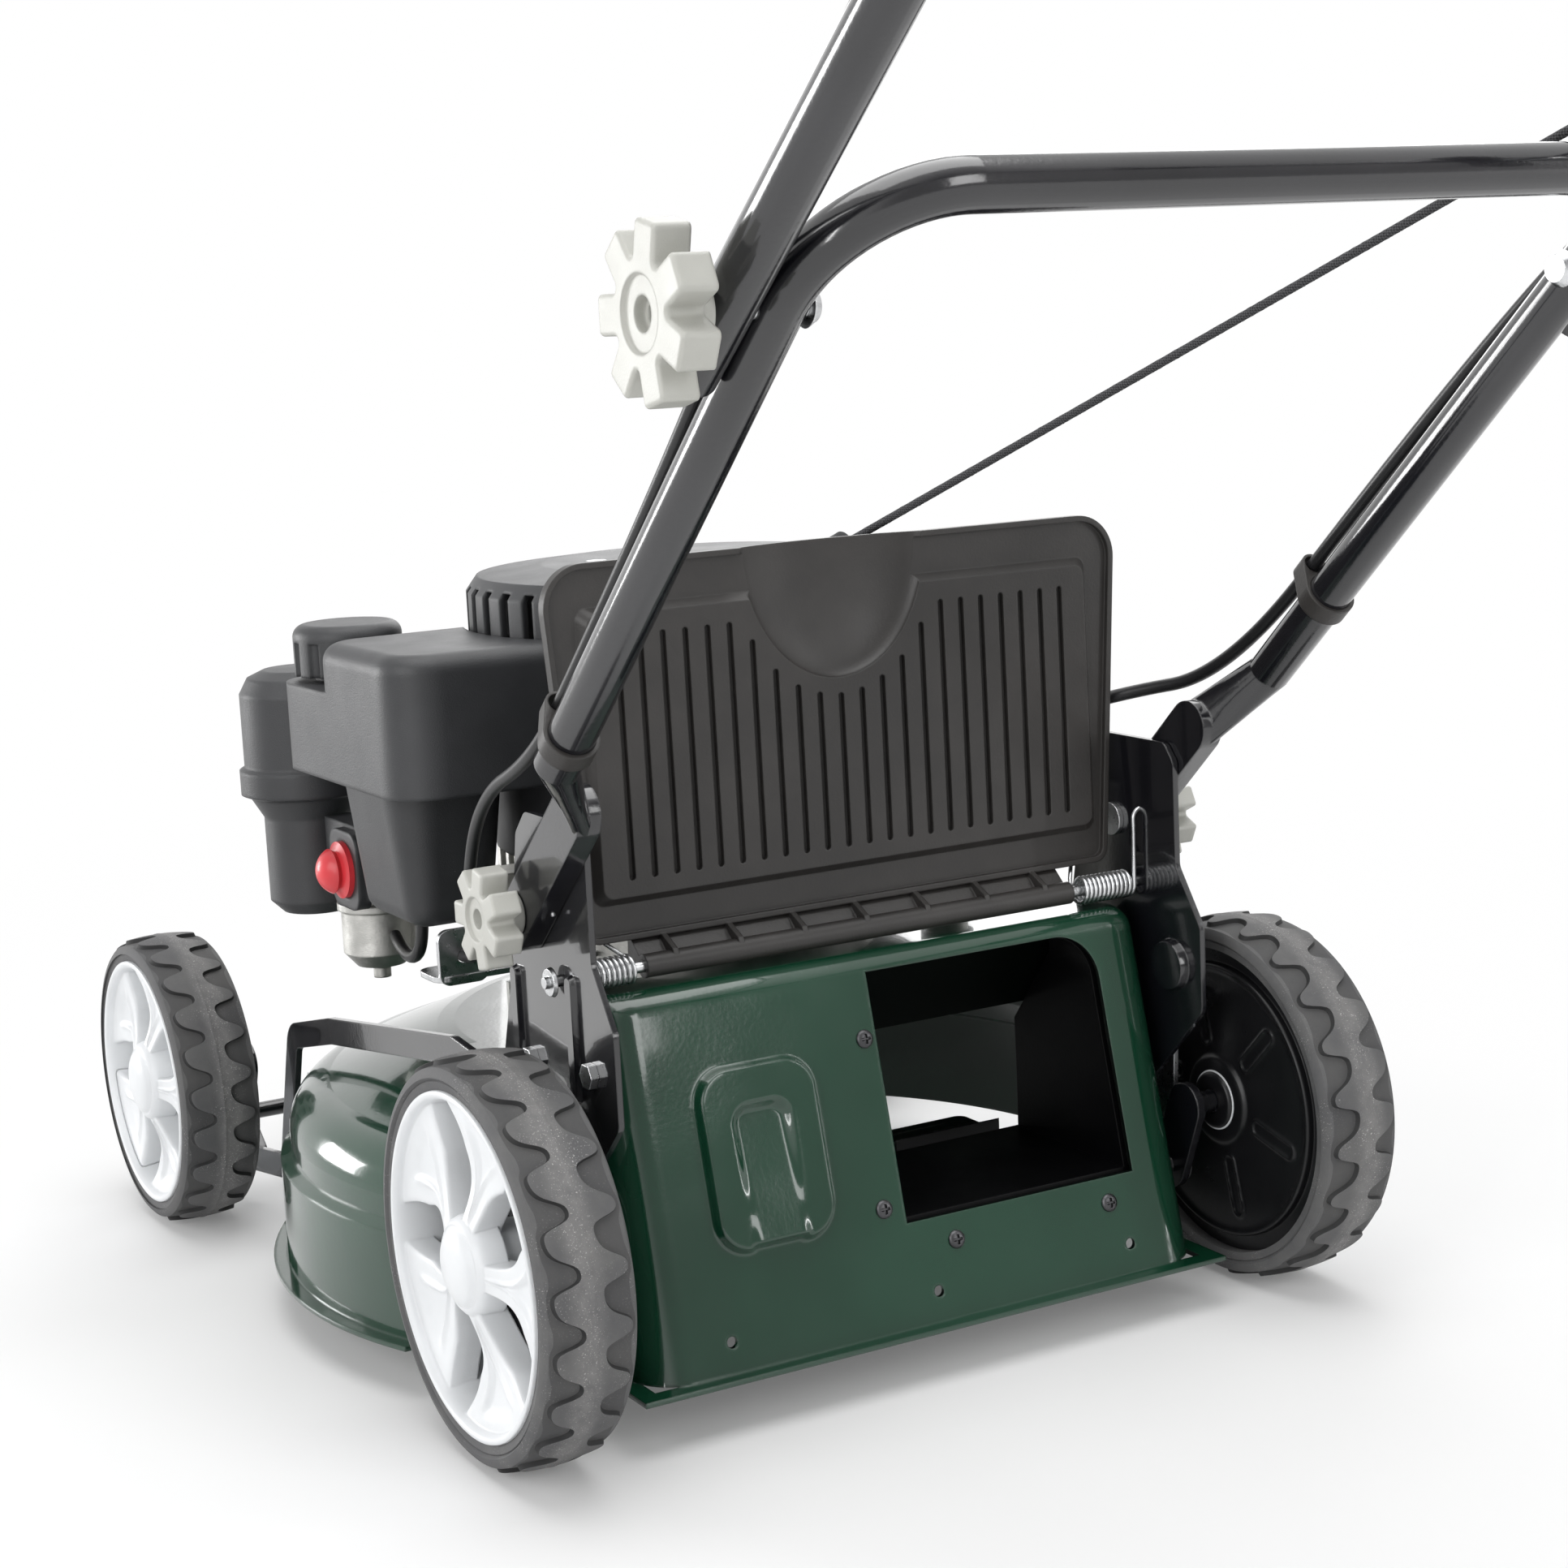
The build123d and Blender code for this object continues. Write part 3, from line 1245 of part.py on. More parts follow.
with BuildPart() as cable_clips:
    for side, run, bore in ((-1, 142, BRAKE_R), (1, 184, THROTTLE_R)):
        clip_at = along(LOWER_PIVOT, LOWER_SLOPE, run)
        seat = Plane(origin=(side * LEG_X, *clip_at), x_dir=(1, 0, 0), z_dir=leg_dir)
        with BuildSketch(seat):
            Circle(TUBE_R + 2.2)
            with Locations((0, CABLE_OFF + 1)):
                Circle(bore + 3)
            make_hull()
            Circle(TUBE_R + 0.02, mode=Mode.SUBTRACT)
            with Locations((0, CABLE_OFF + 1)):
                Circle(bore + 1.6, mode=Mode.SUBTRACT)
        extrude(amount=10)
write(cable_clips, "cable_clips")

# Throttle control on the right leg.
THROTTLE_RUN = 430.0
throttle_seat = Plane(
    origin=(UPPER_X, *along(UPPER_PIVOT, UPPER_SLOPE, THROTTLE_RUN)), x_dir=(1, 0, 0), z_dir=upper_dir
)
THROTTLE_PIVOT = beside(1, UPPER_X, UPPER_PIVOT, UPPER_SLOPE, THROTTLE_RUN + 26, 23)
with BuildPart() as throttle_housing:
    with BuildSketch(throttle_seat):
        Circle(TUBE_R + 2.5)
        with Locations((0, 24)):
            RectangleRounded(26, 20, 4)
        make_hull()
        Circle(TUBE_R + 0.02, mode=Mode.SUBTRACT)
    extrude(amount=54)
    with Locations(Location(THROTTLE_PIVOT, (0, 90, 0))):
        Cylinder(3.5 + RUN, 60, mode=Mode.SUBTRACT)
write(throttle_housing, "throttle_housing")

lever_tip = beside(1, UPPER_X, UPPER_PIVOT, UPPER_SLOPE, THROTTLE_RUN + 44, 66)
with BuildPart() as throttle_lever:
    with BuildSketch(side_plane(UPPER_X - 14)):
        lobe((THROTTLE_PIVOT.Y, THROTTLE_PIVOT.Z), (lever_tip.Y, lever_tip.Z), 7)
    extrude(amount=-4)
    with BuildSketch(side_plane(UPPER_X - 16)):
        with Locations((THROTTLE_PIVOT.Y, THROTTLE_PIVOT.Z)):
            Circle(3.5)
    extrude(amount=14)
write(throttle_lever, "throttle_lever")

fuel_hose = cable(
    [
        Vector(-168, REAR_Y + 214, 226),
        Vector(-168, REAR_Y + 214, 204),
        Vector(-164, REAR_Y + 250, 190),
        Vector(-160, REAR_Y + 276.5, 200),
    ],
    3.5,
)
write(fuel_hose, "fuel_hose")
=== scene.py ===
"""Push lawn mower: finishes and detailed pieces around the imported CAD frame."""
import json
import math

import bmesh
import bpy
import numpy as np
from mathutils import Matrix, Vector


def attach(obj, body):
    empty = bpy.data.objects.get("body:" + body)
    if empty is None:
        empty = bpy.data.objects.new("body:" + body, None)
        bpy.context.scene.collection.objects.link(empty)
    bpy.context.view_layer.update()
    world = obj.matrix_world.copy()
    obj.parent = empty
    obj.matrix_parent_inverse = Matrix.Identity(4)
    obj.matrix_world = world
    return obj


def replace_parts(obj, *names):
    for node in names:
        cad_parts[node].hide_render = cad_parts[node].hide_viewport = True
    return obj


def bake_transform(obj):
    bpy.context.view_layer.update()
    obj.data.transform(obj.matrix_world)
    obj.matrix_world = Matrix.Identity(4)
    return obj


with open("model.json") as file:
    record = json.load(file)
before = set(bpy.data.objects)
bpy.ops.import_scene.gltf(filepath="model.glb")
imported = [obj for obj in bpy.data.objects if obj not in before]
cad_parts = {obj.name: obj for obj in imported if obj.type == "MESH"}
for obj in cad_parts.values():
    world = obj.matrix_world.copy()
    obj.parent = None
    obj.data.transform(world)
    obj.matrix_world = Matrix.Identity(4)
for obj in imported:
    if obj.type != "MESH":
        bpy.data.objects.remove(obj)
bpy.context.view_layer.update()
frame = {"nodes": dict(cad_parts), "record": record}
NODES = frame["nodes"]
MM = 0.001
FULL_TURN = 2 * math.pi

# Layout shared with the part's source, millimetres.
REAR_R, FRONT_R, WHEEL_W = 100.0, 88.5, 48.0
REAR_X, FRONT_X, RIM_SHARE = 224.0, 232.0, 0.845
REAR_Y = 126.25
FRONT_Y = REAR_Y + 474.0
LEG_X, UPPER_X = 204.0, 226.3
LOWER_SLOPE, UPPER_SLOPE = math.radians(42.16), math.radians(38.5)
PIVOT_BACK, BAR_BACK = 270.6, 800.0
LOWER_PIVOT = (REAR_Y + 44.0, 255.0)
UPPER_PIVOT = (REAR_Y - PIVOT_BACK, 540.0)
GRIP_AT = (REAR_Y - BAR_BACK, UPPER_PIVOT[1] + (BAR_BACK - PIVOT_BACK) * math.tan(UPPER_SLOPE))
HINGE = (REAR_Y + 28.0, 222.0)
PANEL_FOOT = (REAR_Y - 34.0, 28.0)
PANEL_LEAN = math.atan2(45.0, 184.0)
BOX_HALF, BOX_TOP, BOX_END = 166.0, 209.0, REAR_Y + 150.0
BOX_MIDDLE = (0.0, REAR_Y + 60.0, 110.0)


# Shader helpers
class Value:
    """One shader value. Sums, differences and products of values add Math nodes."""

    def __init__(self, finish, socket):
        self.finish = finish
        self.socket = socket

    def _math(self, operation, first, second):
        return self.finish.node("ShaderNodeMath", {"operation": operation}, {0: first, 1: second})

    def __add__(self, other):
        return self._math("ADD", self, other)

    def __radd__(self, other):
        return self._math("ADD", other, self)

    def __sub__(self, other):
        return self._math("SUBTRACT", self, other)

    def __rsub__(self, other):
        return self._math("SUBTRACT", other, self)

    def __mul__(self, other):
        return self._math("MULTIPLY", self, other)

    def __rmul__(self, other):
        return self._math("MULTIPLY", other, self)


class Finish:
    """A material on Object coordinates, built round one Principled shader."""

    def __init__(self, name, **fixed):
        self.material = bpy.data.materials.new(name)
        self.material.use_nodes = True
        self.tree = self.material.node_tree
        self.shader = self.tree.nodes["Principled BSDF"]
        self.place = self.node("ShaderNodeTexCoord", out="Object")
        for socket, value in fixed.items():
            self.set(socket.replace("_", " "), value)

    def put(self, socket, value):
        if isinstance(value, Value):
            self.tree.links.new(value.socket, socket)
        else:
            socket.default_value = value

    def set(self, socket, value):
        self.put(self.shader.inputs[socket], value)

    def node(self, kind, settings=None, links=None, out=0):
        """Any node: its settings first, then the values or links of its sockets."""
        made = self.tree.nodes.new(kind)
        for key, value in (settings or {}).items():
            setattr(made, key, value)
        for key, value in (links or {}).items():
            self.put(made.inputs[key], value)
        return Value(self, made.outputs[out])

    def one(self, operation, value):
        """A Math node of a single value."""
        return self.node("ShaderNodeMath", {"operation": operation}, {0: value})

    def along(self, axis):
        """The place along one axis, in metres."""
        return self.node("ShaderNodeSeparateXYZ", {}, {0: self.place}, out=axis)

    def noise(self, scale, detail=3.0, rough=0.5, stretch=None):
        """Soft noise from 0 to 1, its scale in features per metre, drawn out where a stretch is given."""
        at = self.place
        if stretch:
            at = self.node("ShaderNodeMapping", {}, {"Vector": at, "Scale": stretch})
        return self.node("ShaderNodeTexNoise", {}, {"Vector": at, "Scale": scale, "Detail": detail, "Roughness": rough})

    def step(self, value, low, high):
        """0 below low, 1 above high, smooth between."""
        return self.node(
            "ShaderNodeMapRange", {"interpolation_type": "SMOOTHSTEP"}, {0: value, 1: low, 2: high, 3: 0.0, 4: 1.0}
        )

    def mix(self, factor, first, second):
        return self.node("ShaderNodeMix", {"data_type": "RGBA"}, {0: factor, 6: first, 7: second}, out=2)

    def bump(self, height, depth, strength=1.0, edge=0.0):
        """Bump of a depth in metres, with edges softened to a radius where one is given."""
        links = {"Height": height, "Distance": depth, "Strength": strength}
        if edge:
            links["Normal"] = self.node("ShaderNodeBevel", {"samples": 6}, {"Radius": edge})
        self.set("Normal", self.node("ShaderNodeBump", {}, links))


class Sky(Finish):
    """The same node helpers on the world's tree."""

    def __init__(self, tree):
        self.tree = tree


def rgb(red, green, blue):
    return (red, green, blue, 1.0)


# Finishes
def enamel(name, deep, light, rough, peel, edge, coat=0.75, specular=0.5, sag=1.0):
    """Sprayed gloss enamel: two close tones in broad clouds, a fine orange peel, the slow waves of a pressed
    sheet and a clear coat."""
    f = Finish(name, Coat_Roughness=0.04, IOR=1.5, Specular_IOR_Level=specular)
    clouds = f.noise(9.0, 2.0)
    f.set("Base Color", f.mix(f.step(clouds, 0.35, 0.7), deep, light))
    f.set("Roughness", rough + 0.08 * f.noise(60.0, 3.0))
    f.set("Coat Weight", coat + 0.25 * clouds)
    f.bump(f.noise(420.0, 2.0) + 0.5 * f.noise(90.0, 2.0) + sag * f.noise(15.0, 1.0), peel, 0.35, edge)
    return f.material


def moulded(name, deep, light, rough, grain, grain_scale, edge, dust=0.0, specular=0.5):
    """Moulded plastic: a fine spark-eroded grain, flow clouds and, where asked for, a little pale dust."""
    f = Finish(name, IOR=1.48, Specular_IOR_Level=specular)
    clouds = f.noise(14.0, 4.0, 0.6)
    tone = f.mix(f.step(clouds, 0.3, 0.75), deep, light)
    if dust:
        specks = f.step(f.noise(900.0, 2.0), 0.72, 0.8) * f.step(f.noise(22.0, 3.0), 0.5, 0.7)
        tone = f.mix(dust * specks, tone, rgb(0.5, 0.49, 0.47))
    f.set("Base Color", tone)
    f.set("Roughness", rough - 0.08 + 0.16 * f.noise(40.0, 4.0))
    f.bump(f.noise(grain_scale, 2.0), grain, 0.5, edge)
    return f.material


def plated(name, tone, rough, scratch, edge):
    """Plated or bare metal: faint clouds in the plating and hairline scratches."""
    f = Finish(name, Metallic=1.0)
    clouds = f.noise(70.0, 4.0, 0.6)
    shade = rgb(*[c * 0.72 for c in tone[:3]])
    f.set("Base Color", f.mix(f.step(clouds, 0.3, 0.7), shade, tone))
    f.set("Roughness", rough + 0.18 * f.noise(240.0, 3.0))
    f.bump(f.noise(500.0, 2.0, 0.5, (1.0, 1.0, 6.0)), scratch, 0.3, edge)
    return f.material


def tread_rubber(name, deep, light, dust):
    """Grey wheel rubber: mould bloom in clouds and pale dust, thickest along the middle where it rolls."""
    tread_x = 0.227
    f = Finish(name, IOR=1.45)
    clouds = f.noise(30.0, 5.0, 0.65)
    tone = f.mix(f.step(clouds, 0.3, 0.75), deep, light)
    off = f.one("ABSOLUTE", f.one("ABSOLUTE", f.along("X")) - tread_x)
    middle = 1.0 - f.step(off, 0.002, 0.012)
    specks = f.step(f.noise(1300.0, 2.0), 0.60, 0.72) * (f.step(f.noise(45.0, 3.0), 0.48, 0.66) + middle)
    film = 0.35 * middle * f.noise(160.0, 4.0)
    f.set("Base Color", f.mix(dust * (0.6 * specks + film), tone, rgb(0.42, 0.41, 0.40)))
    f.set("Roughness", 0.62 + 0.2 * clouds)
    f.bump(f.noise(900.0, 3.0), 0.0002, 0.35)
    return f.material


def foam_rubber():
    """Closed-cell foam: small round cells over a dull black skin."""
    f = Finish("foam", IOR=1.4)
    cells = f.node("ShaderNodeTexVoronoi", {"feature": "F1"}, {"Vector": f.place, "Scale": 620.0})
    f.set("Base Color", f.mix(f.noise(40.0, 3.0), rgb(0.016, 0.016, 0.017), rgb(0.03, 0.03, 0.031)))
    f.set("Roughness", 0.78 + 0.15 * f.noise(120.0))
    f.bump(cells, 0.0005, 0.5)
    return f.material


def braided_rope():
    """Braided cord: crossing strands from two skewed waves. Its colour is darker where the weave sinks: painted shade
    between the strands.
    """
    strands = 2600.0
    f = Finish("rope", IOR=1.45)
    y, z = f.along("Y"), f.along("Z")
    weave = f.one("SINE", (y + z) * strands) * f.one("SINE", (y - z) * strands)
    # Darker where the weave sinks: painted shade between the strands.
    f.set("Base Color", f.mix(f.step(weave, -0.8, 0.8), rgb(0.02, 0.02, 0.022), rgb(0.085, 0.085, 0.09)))
    f.set("Roughness", 0.8 + 0.1 * f.noise(200.0))
    f.bump(weave, 0.0004, 0.6)
    return f.material


def primer_rubber():
    """Soft red bulb with a waxy bloom."""
    f = Finish("primer_red", Coat_Roughness=0.2, IOR=1.45)
    f.set("Base Color", f.mix(f.noise(60.0, 3.0), rgb(0.62, 0.022, 0.035), rgb(0.74, 0.05, 0.06)))
    f.set("Roughness", 0.32 + 0.12 * f.noise(90.0))
    f.set("Coat Weight", 0.25 + 0.1 * f.noise(30.0))
    f.bump(f.noise(500.0), 0.0001, 0.3)
    return f.material


def worn_steel():
    """Black-painted blade, rubbed bright in streaks along its length."""
    f = Finish("blade_steel")
    rub = f.step(f.noise(60.0, 6.0, 0.7, (0.3, 4.0, 1.0)), 0.56, 0.66)
    f.set("Base Color", f.mix(rub, rgb(0.018, 0.018, 0.02), rgb(0.42, 0.41, 0.40)))
    f.set("Metallic", rub)
    f.set("Roughness", 0.3 + 0.25 * f.noise(80.0))
    f.bump(f.noise(300.0, 3.0), 0.0002, 0.3, 0.001)
    return f.material


DECK_GREEN = enamel(
    "deck_green", rgb(0.004, 0.036, 0.0175), rgb(0.0065, 0.047, 0.024),
    rough=0.10, peel=0.00012, edge=0.0022, coat=0.6, sag=22.0,
)
# Near-black copy of the deck enamel for the box's inside faces: painted shade.
DECK_INSIDE_PAINTED_SHADE = enamel(
    "deck_inside_painted_shade", rgb(0.0018, 0.003, 0.0024), rgb(0.003, 0.005, 0.004),
    rough=0.4, peel=0.0001, edge=0.0, coat=0.0, specular=0.1,
)
# Lighter, glossier copy of the black steel: its lighter base colour is a painted reflection on the left bracket's
# outward faces.
BRACKET_GLOSS_PAINTED_HIGHLIGHT = enamel(
    "bracket_gloss_painted_highlight", rgb(0.02, 0.02, 0.022), rgb(0.03, 0.03, 0.032),
    rough=0.10, peel=0.0001, edge=0.0, specular=1.0,
)
BLACK_GLOSS = enamel(
    "black_steel", rgb(0.0055, 0.0055, 0.0075), rgb(0.009, 0.009, 0.012),
    rough=0.12, peel=0.00015, edge=0.0016, coat=0.45, specular=0.7,
)
FLAP_BLACK = moulded(
    "flap_plastic", rgb(0.020, 0.0185, 0.0175), rgb(0.034, 0.031, 0.029),
    rough=0.42, grain=0.0002, grain_scale=700.0, edge=0.0012,
)
ENGINE_BLACK = moulded(
    "engine_plastic", rgb(0.026, 0.027, 0.029), rgb(0.035, 0.036, 0.039),
    rough=0.44, grain=0.0003, grain_scale=1500.0, edge=0.003, dust=0.25,
)
COVER_BLACK = moulded(
    "cover_black", rgb(0.006, 0.006, 0.007), rgb(0.010, 0.010, 0.011),
    rough=0.30, grain=0.0001, grain_scale=500.0, edge=0.0012, specular=0.4,
)
RIM_SILVER = moulded(
    "rim_grey", rgb(0.69, 0.705, 0.72), rgb(0.77, 0.785, 0.80),
    rough=0.34, grain=0.0001, grain_scale=900.0, edge=0.0015,
)
KNOB_GREY = moulded(
    "knob_grey", rgb(0.44, 0.44, 0.405), rgb(0.50, 0.50, 0.465),
    rough=0.40, grain=0.0002, grain_scale=1100.0, edge=0.0018,
)
SHEATH = moulded(
    "cable_sheath", rgb(0.010, 0.010, 0.011), rgb(0.018, 0.018, 0.019),
    rough=0.36, grain=0.0001, grain_scale=500.0, edge=0.0,
)
PLUG_BLACK = moulded(
    "plug", rgb(0.012, 0.012, 0.013), rgb(0.03, 0.03, 0.03),
    rough=0.5, grain=0.0001, grain_scale=500.0, edge=0.001,
)
CHUTE_BLACK = moulded(
    "chute_black", rgb(0.002, 0.002, 0.0023), rgb(0.0035, 0.0035, 0.004),
    rough=0.34, grain=0.0001, grain_scale=500.0, edge=0.001, specular=0.12,
)
ZINC = plated("zinc", rgb(0.76, 0.77, 0.78), rough=0.20, scratch=0.0001, edge=0.0008)
CAST = plated("cast_aluminium", rgb(0.58, 0.575, 0.55), rough=0.38, scratch=0.0006, edge=0.0015)
MUFFLER = plated("muffler_steel", rgb(0.20, 0.19, 0.185), rough=0.42, scratch=0.0003, edge=0.0015)
SCREW_BLACK = plated("screw_black", rgb(0.10, 0.10, 0.105), rough=0.28, scratch=0.0001, edge=0.0)
TYRE = tread_rubber("tyre_rubber", rgb(0.082, 0.082, 0.085), rgb(0.120, 0.119, 0.118), dust=1.0)
# Darker tread copies for the hollows and near black for their lips: painted shade in the recesses.
TYRE_HOLLOW_PAINTED_SHADE = tread_rubber("tyre_hollow_painted_shade", rgb(0.056, 0.056, 0.058), rgb(0.078, 0.077, 0.076), dust=0.3)
TYRE_LIP_PAINTED_SHADE = tread_rubber("tyre_lip_painted_shade", rgb(0.018, 0.018, 0.019), rgb(0.028, 0.028, 0.028), dust=0.0)
FOAM = foam_rubber()
ROPE = braided_rope()
PRIMER = primer_rubber()
BLADE = worn_steel()

SLOT_FINISH = {
    "deck_green": DECK_GREEN, "black_steel": BLACK_GLOSS, "flap_plastic": FLAP_BLACK,
    "engine_plastic": ENGINE_BLACK, "cover_black": COVER_BLACK, "rim_grey": RIM_SILVER,
    "knob_grey": KNOB_GREY, "cable_sheath": SHEATH, "plug": PLUG_BLACK, "zinc": ZINC,
    "cast_aluminium": CAST, "muffler_steel": MUFFLER, "tyre_rubber": TYRE, "foam": FOAM,
    "rope": ROPE, "primer_red": PRIMER,
}
OWN_FINISH = {"blade": BLADE, "discharge_chute": CHUTE_BLACK}
for row in frame["record"]["subparts"]:
    mesh = NODES[row["node"]].data
    mesh.materials.clear()
    mesh.materials.append(OWN_FINISH.get(row["node"], SLOT_FINISH[row["material_slot"]]))


def shade_faces(node, finish, chosen):
    """A second finish on the faces of a CAD node that a test of their centres, in mm, and normals picks."""
    mesh = NODES[node].data
    flat = np.empty(len(mesh.polygons) * 3)
    mesh.polygons.foreach_get("center", flat)
    centres = flat.reshape(-1, 3) / MM
    mesh.polygons.foreach_get("normal", flat)
    mesh.materials.append(finish)
    picked = chosen(centres, flat.reshape(-1, 3))
    mesh.polygons.foreach_set("material_index", np.ascontiguousarray(picked, dtype=np.int32))


def inside_box(centres, normals):
    """Behind the rear panel, under the box's top and between its sides, facing the middle of the box."""
    x, y, z = centres.T
    inward = ((centres - BOX_MIDDLE) * normals).sum(1) < 0
    behind = y - PANEL_FOOT[0] - (z - PANEL_FOOT[1]) * math.tan(PANEL_LEAN) > 0.6
    return inward & behind & (z < BOX_TOP) & (np.abs(x) < BOX_HALF - 1.2) & (y < BOX_END)


def faces_left(centres, normals):
    return normals[:, 0] < -0.9


# Painted shade: the deck box's inside faces are given a near-black finish.
shade_faces("deck_shell", DECK_INSIDE_PAINTED_SHADE, inside_box)
# Painted reflection: the left bracket's outward faces get a lighter base colour.
shade_faces("left_handle_bracket", BRACKET_GLOSS_PAINTED_HIGHLIGHT, faces_left)


# Mesh helpers
MERGE = 0.00002


def grid_faces(rows, columns, wrap_rows, wrap_columns, first):
    """Quads of a grid of points, row by row, closed round where it wraps."""
    r = np.arange(rows if wrap_rows else rows - 1)
    c = np.arange(columns if wrap_columns else columns - 1)
    r, c = np.meshgrid(r, c, indexing="ij")
    r2, c2 = (r + 1) % rows, (c + 1) % columns
    quads = np.stack([r * columns + c, r2 * columns + c, r2 * columns + c2, r * columns + c2], -1)
    return quads.reshape(-1, 4) + first


def piece(name, sheets, body, finish, sharp, marks=None, others=()):
    """One object from grids of points in metres: each sheet is (points, wraps in rows, wraps in columns).
    Marks give each face the number of its finish where there are others."""
    points, faces, first = [], [], 0
    for grid, wrap_rows, wrap_columns in sheets:
        rows, columns = grid.shape[:2]
        points.append(grid.reshape(-1, 3))
        faces.append(grid_faces(rows, columns, wrap_rows, wrap_columns, first))
        first += rows * columns
    mesh = bpy.data.meshes.new(name)
    mesh.from_pydata(np.concatenate(points).tolist(), [], np.concatenate(faces).tolist())
    for shade in (finish, *others):
        mesh.materials.append(shade)
    if marks is not None:
        mesh.polygons.foreach_set("material_index", np.ascontiguousarray(marks, dtype=np.int32).ravel())
    work = bmesh.new()
    work.from_mesh(mesh)
    bmesh.ops.remove_doubles(work, verts=work.verts, dist=MERGE)
    bmesh.ops.dissolve_degenerate(work, edges=work.edges, dist=MERGE / 4)
    bmesh.ops.recalc_face_normals(work, faces=work.faces)
    work.to_mesh(mesh)
    work.free()
    mesh.shade_smooth()
    mesh.set_sharp_from_angle(angle=math.radians(sharp))
    made = bpy.data.objects.new(name, mesh)
    bpy.context.scene.collection.objects.link(made)
    if body:
        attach(made, body)
    return made


def round_angles(count):
    """Angles once round, without the last."""
    return np.linspace(0, FULL_TURN, count, endpoint=False)


def turned(along, radius, angle, centre, side):
    """Points round an axle across the mower, in metres: places along it, radii and angles that broadcast."""
    x = centre[0] + side * along
    y = centre[1] + radius * np.cos(angle)
    z = centre[2] + radius * np.sin(angle)
    return np.stack(np.broadcast_arrays(x, y, z), -1) * MM


# Wheels
WAVES, WAVE_STEPS = 22, 22
WAVE_MIDDLE, WAVE_SWING, WAVE_STEEP = 12.2, 7.0, 1.5
SEAM_X, SEAM_SINK = (0.0, 0.5, 1.1), (-0.25, -0.2, 0.0)
LIP_OUT, LIP_SINK = (-0.25, 0.1, 0.45, 0.8), (0.12, 0.9, 2.0, 2.5)
CROWN_COLUMNS, HOLLOW_COLUMNS, HOLLOW_SINK = 9, 7, 2.6


def tread_profile(angles, radius):
    """Cross-section of a tyre at every angle, places along the axle and radii. Its crown is parabolic. On each
    half a wave divides the crown from the hollows at its shoulder, and the grid's columns follow that wave."""
    half, rim_r = WHEEL_W / 2, radius * RIM_SHARE
    wall_x = np.array([half - 0.7, half, half - 1.0, half - 1.9, half - 1.3, half - 2.2])
    wall_r = np.array([radius - 6.5, radius - 9.5, rim_r + 5.2, rim_r + 4.6, rim_r + 4.0, rim_r])
    sink = np.concatenate([
        SEAM_SINK, np.zeros(CROWN_COLUMNS), LIP_SINK, np.full(HOLLOW_COLUMNS, HOLLOW_SINK),
    ])
    halves_x, halves_r = [], []
    for hand in (-1.0, 1.0):
        phase = WAVES * angles + (0.0 if hand < 0 else math.pi)
        skewed = phase + 0.45 * np.sin(phase + 0.5) * hand
        wave = np.tanh(WAVE_STEEP * np.sin(skewed)) / math.tanh(WAVE_STEEP)
        edge = (WAVE_MIDDLE + WAVE_SWING * wave)[:, None]
        seam = np.broadcast_to(SEAM_X, (len(angles), len(SEAM_X)))
        crown = np.linspace(0.35, 1.0, CROWN_COLUMNS) * (edge - 0.5)
        lip = edge + np.array(LIP_OUT)
        foot = lip[:, -1:]
        hollow = foot + np.linspace(0.14, 1.0, HOLLOW_COLUMNS) * (half - 2.2 - foot)
        x = np.sort(np.concatenate([seam, crown, lip, hollow], 1), 1)
        r = radius - 0.3 - 1.4 * (x / 19.0) ** 2 - sink * np.clip(1.35 - x / 60.0, 0, 1)
        walls = (len(angles), len(wall_x))
        halves_x.append(hand * np.concatenate([x, np.broadcast_to(wall_x, walls)], 1))
        halves_r.append(np.concatenate([r, np.broadcast_to(wall_r, walls)], 1))
    return [np.concatenate([left[:, ::-1], right[:, 1:]], 1) for left, right in (halves_x, halves_r)]


def tyre(name, body, side, x, y, radius):
    """A tyre in three finishes: its crown and walls; the lips of its hollows in near black and the hollows darker, both
    painted shade.
    """
    angles = round_angles(WAVES * WAVE_STEPS)
    along, tread_r = tread_profile(angles, radius)
    grid = turned(along, tread_r, angles[:, None], (side * x, y, radius), side)
    column = np.arange(grid.shape[1])
    middle = grid.shape[1] // 2
    from_middle = np.where(column >= middle, column - middle, middle - 1 - column)
    lip = len(SEAM_X) + CROWN_COLUMNS
    hollow = lip + len(LIP_OUT) - 1
    wall = hollow + HOLLOW_COLUMNS - 1
    # Mark 2 paints the lips of the hollows near black and mark 1 the hollows darker: painted shade.
    shade = np.array([0, 2, 1, 0])[np.digitize(from_middle, [lip, hollow, wall])]
    made = piece(
        name + "_tread", [(grid, True, True)], body, TYRE, 32.0,
        marks=np.broadcast_to(shade, grid.shape[:2]), others=(TYRE_HOLLOW_PAINTED_SHADE, TYRE_LIP_PAINTED_SHADE),
    )
    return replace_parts(made, name)


SPOKES, SPOKE_TURN = 5, 0.32
SPOKE_FOOT, SPOKE_DEEP, SPOKE_COLUMNS = 17.0, 15.0, 41
FLANK_U = np.array([-1, -1, -1, -0.985, -0.94, -0.88])
FLANK_DROP = np.array([SPOKE_DEEP, 8, 2.2, 0.9, 0.2, 0.0])


def rise(v, start, length):
    """0 up to a start, 1 from a length beyond it, straight between."""
    return np.clip((v - start) / length, 0, 1)


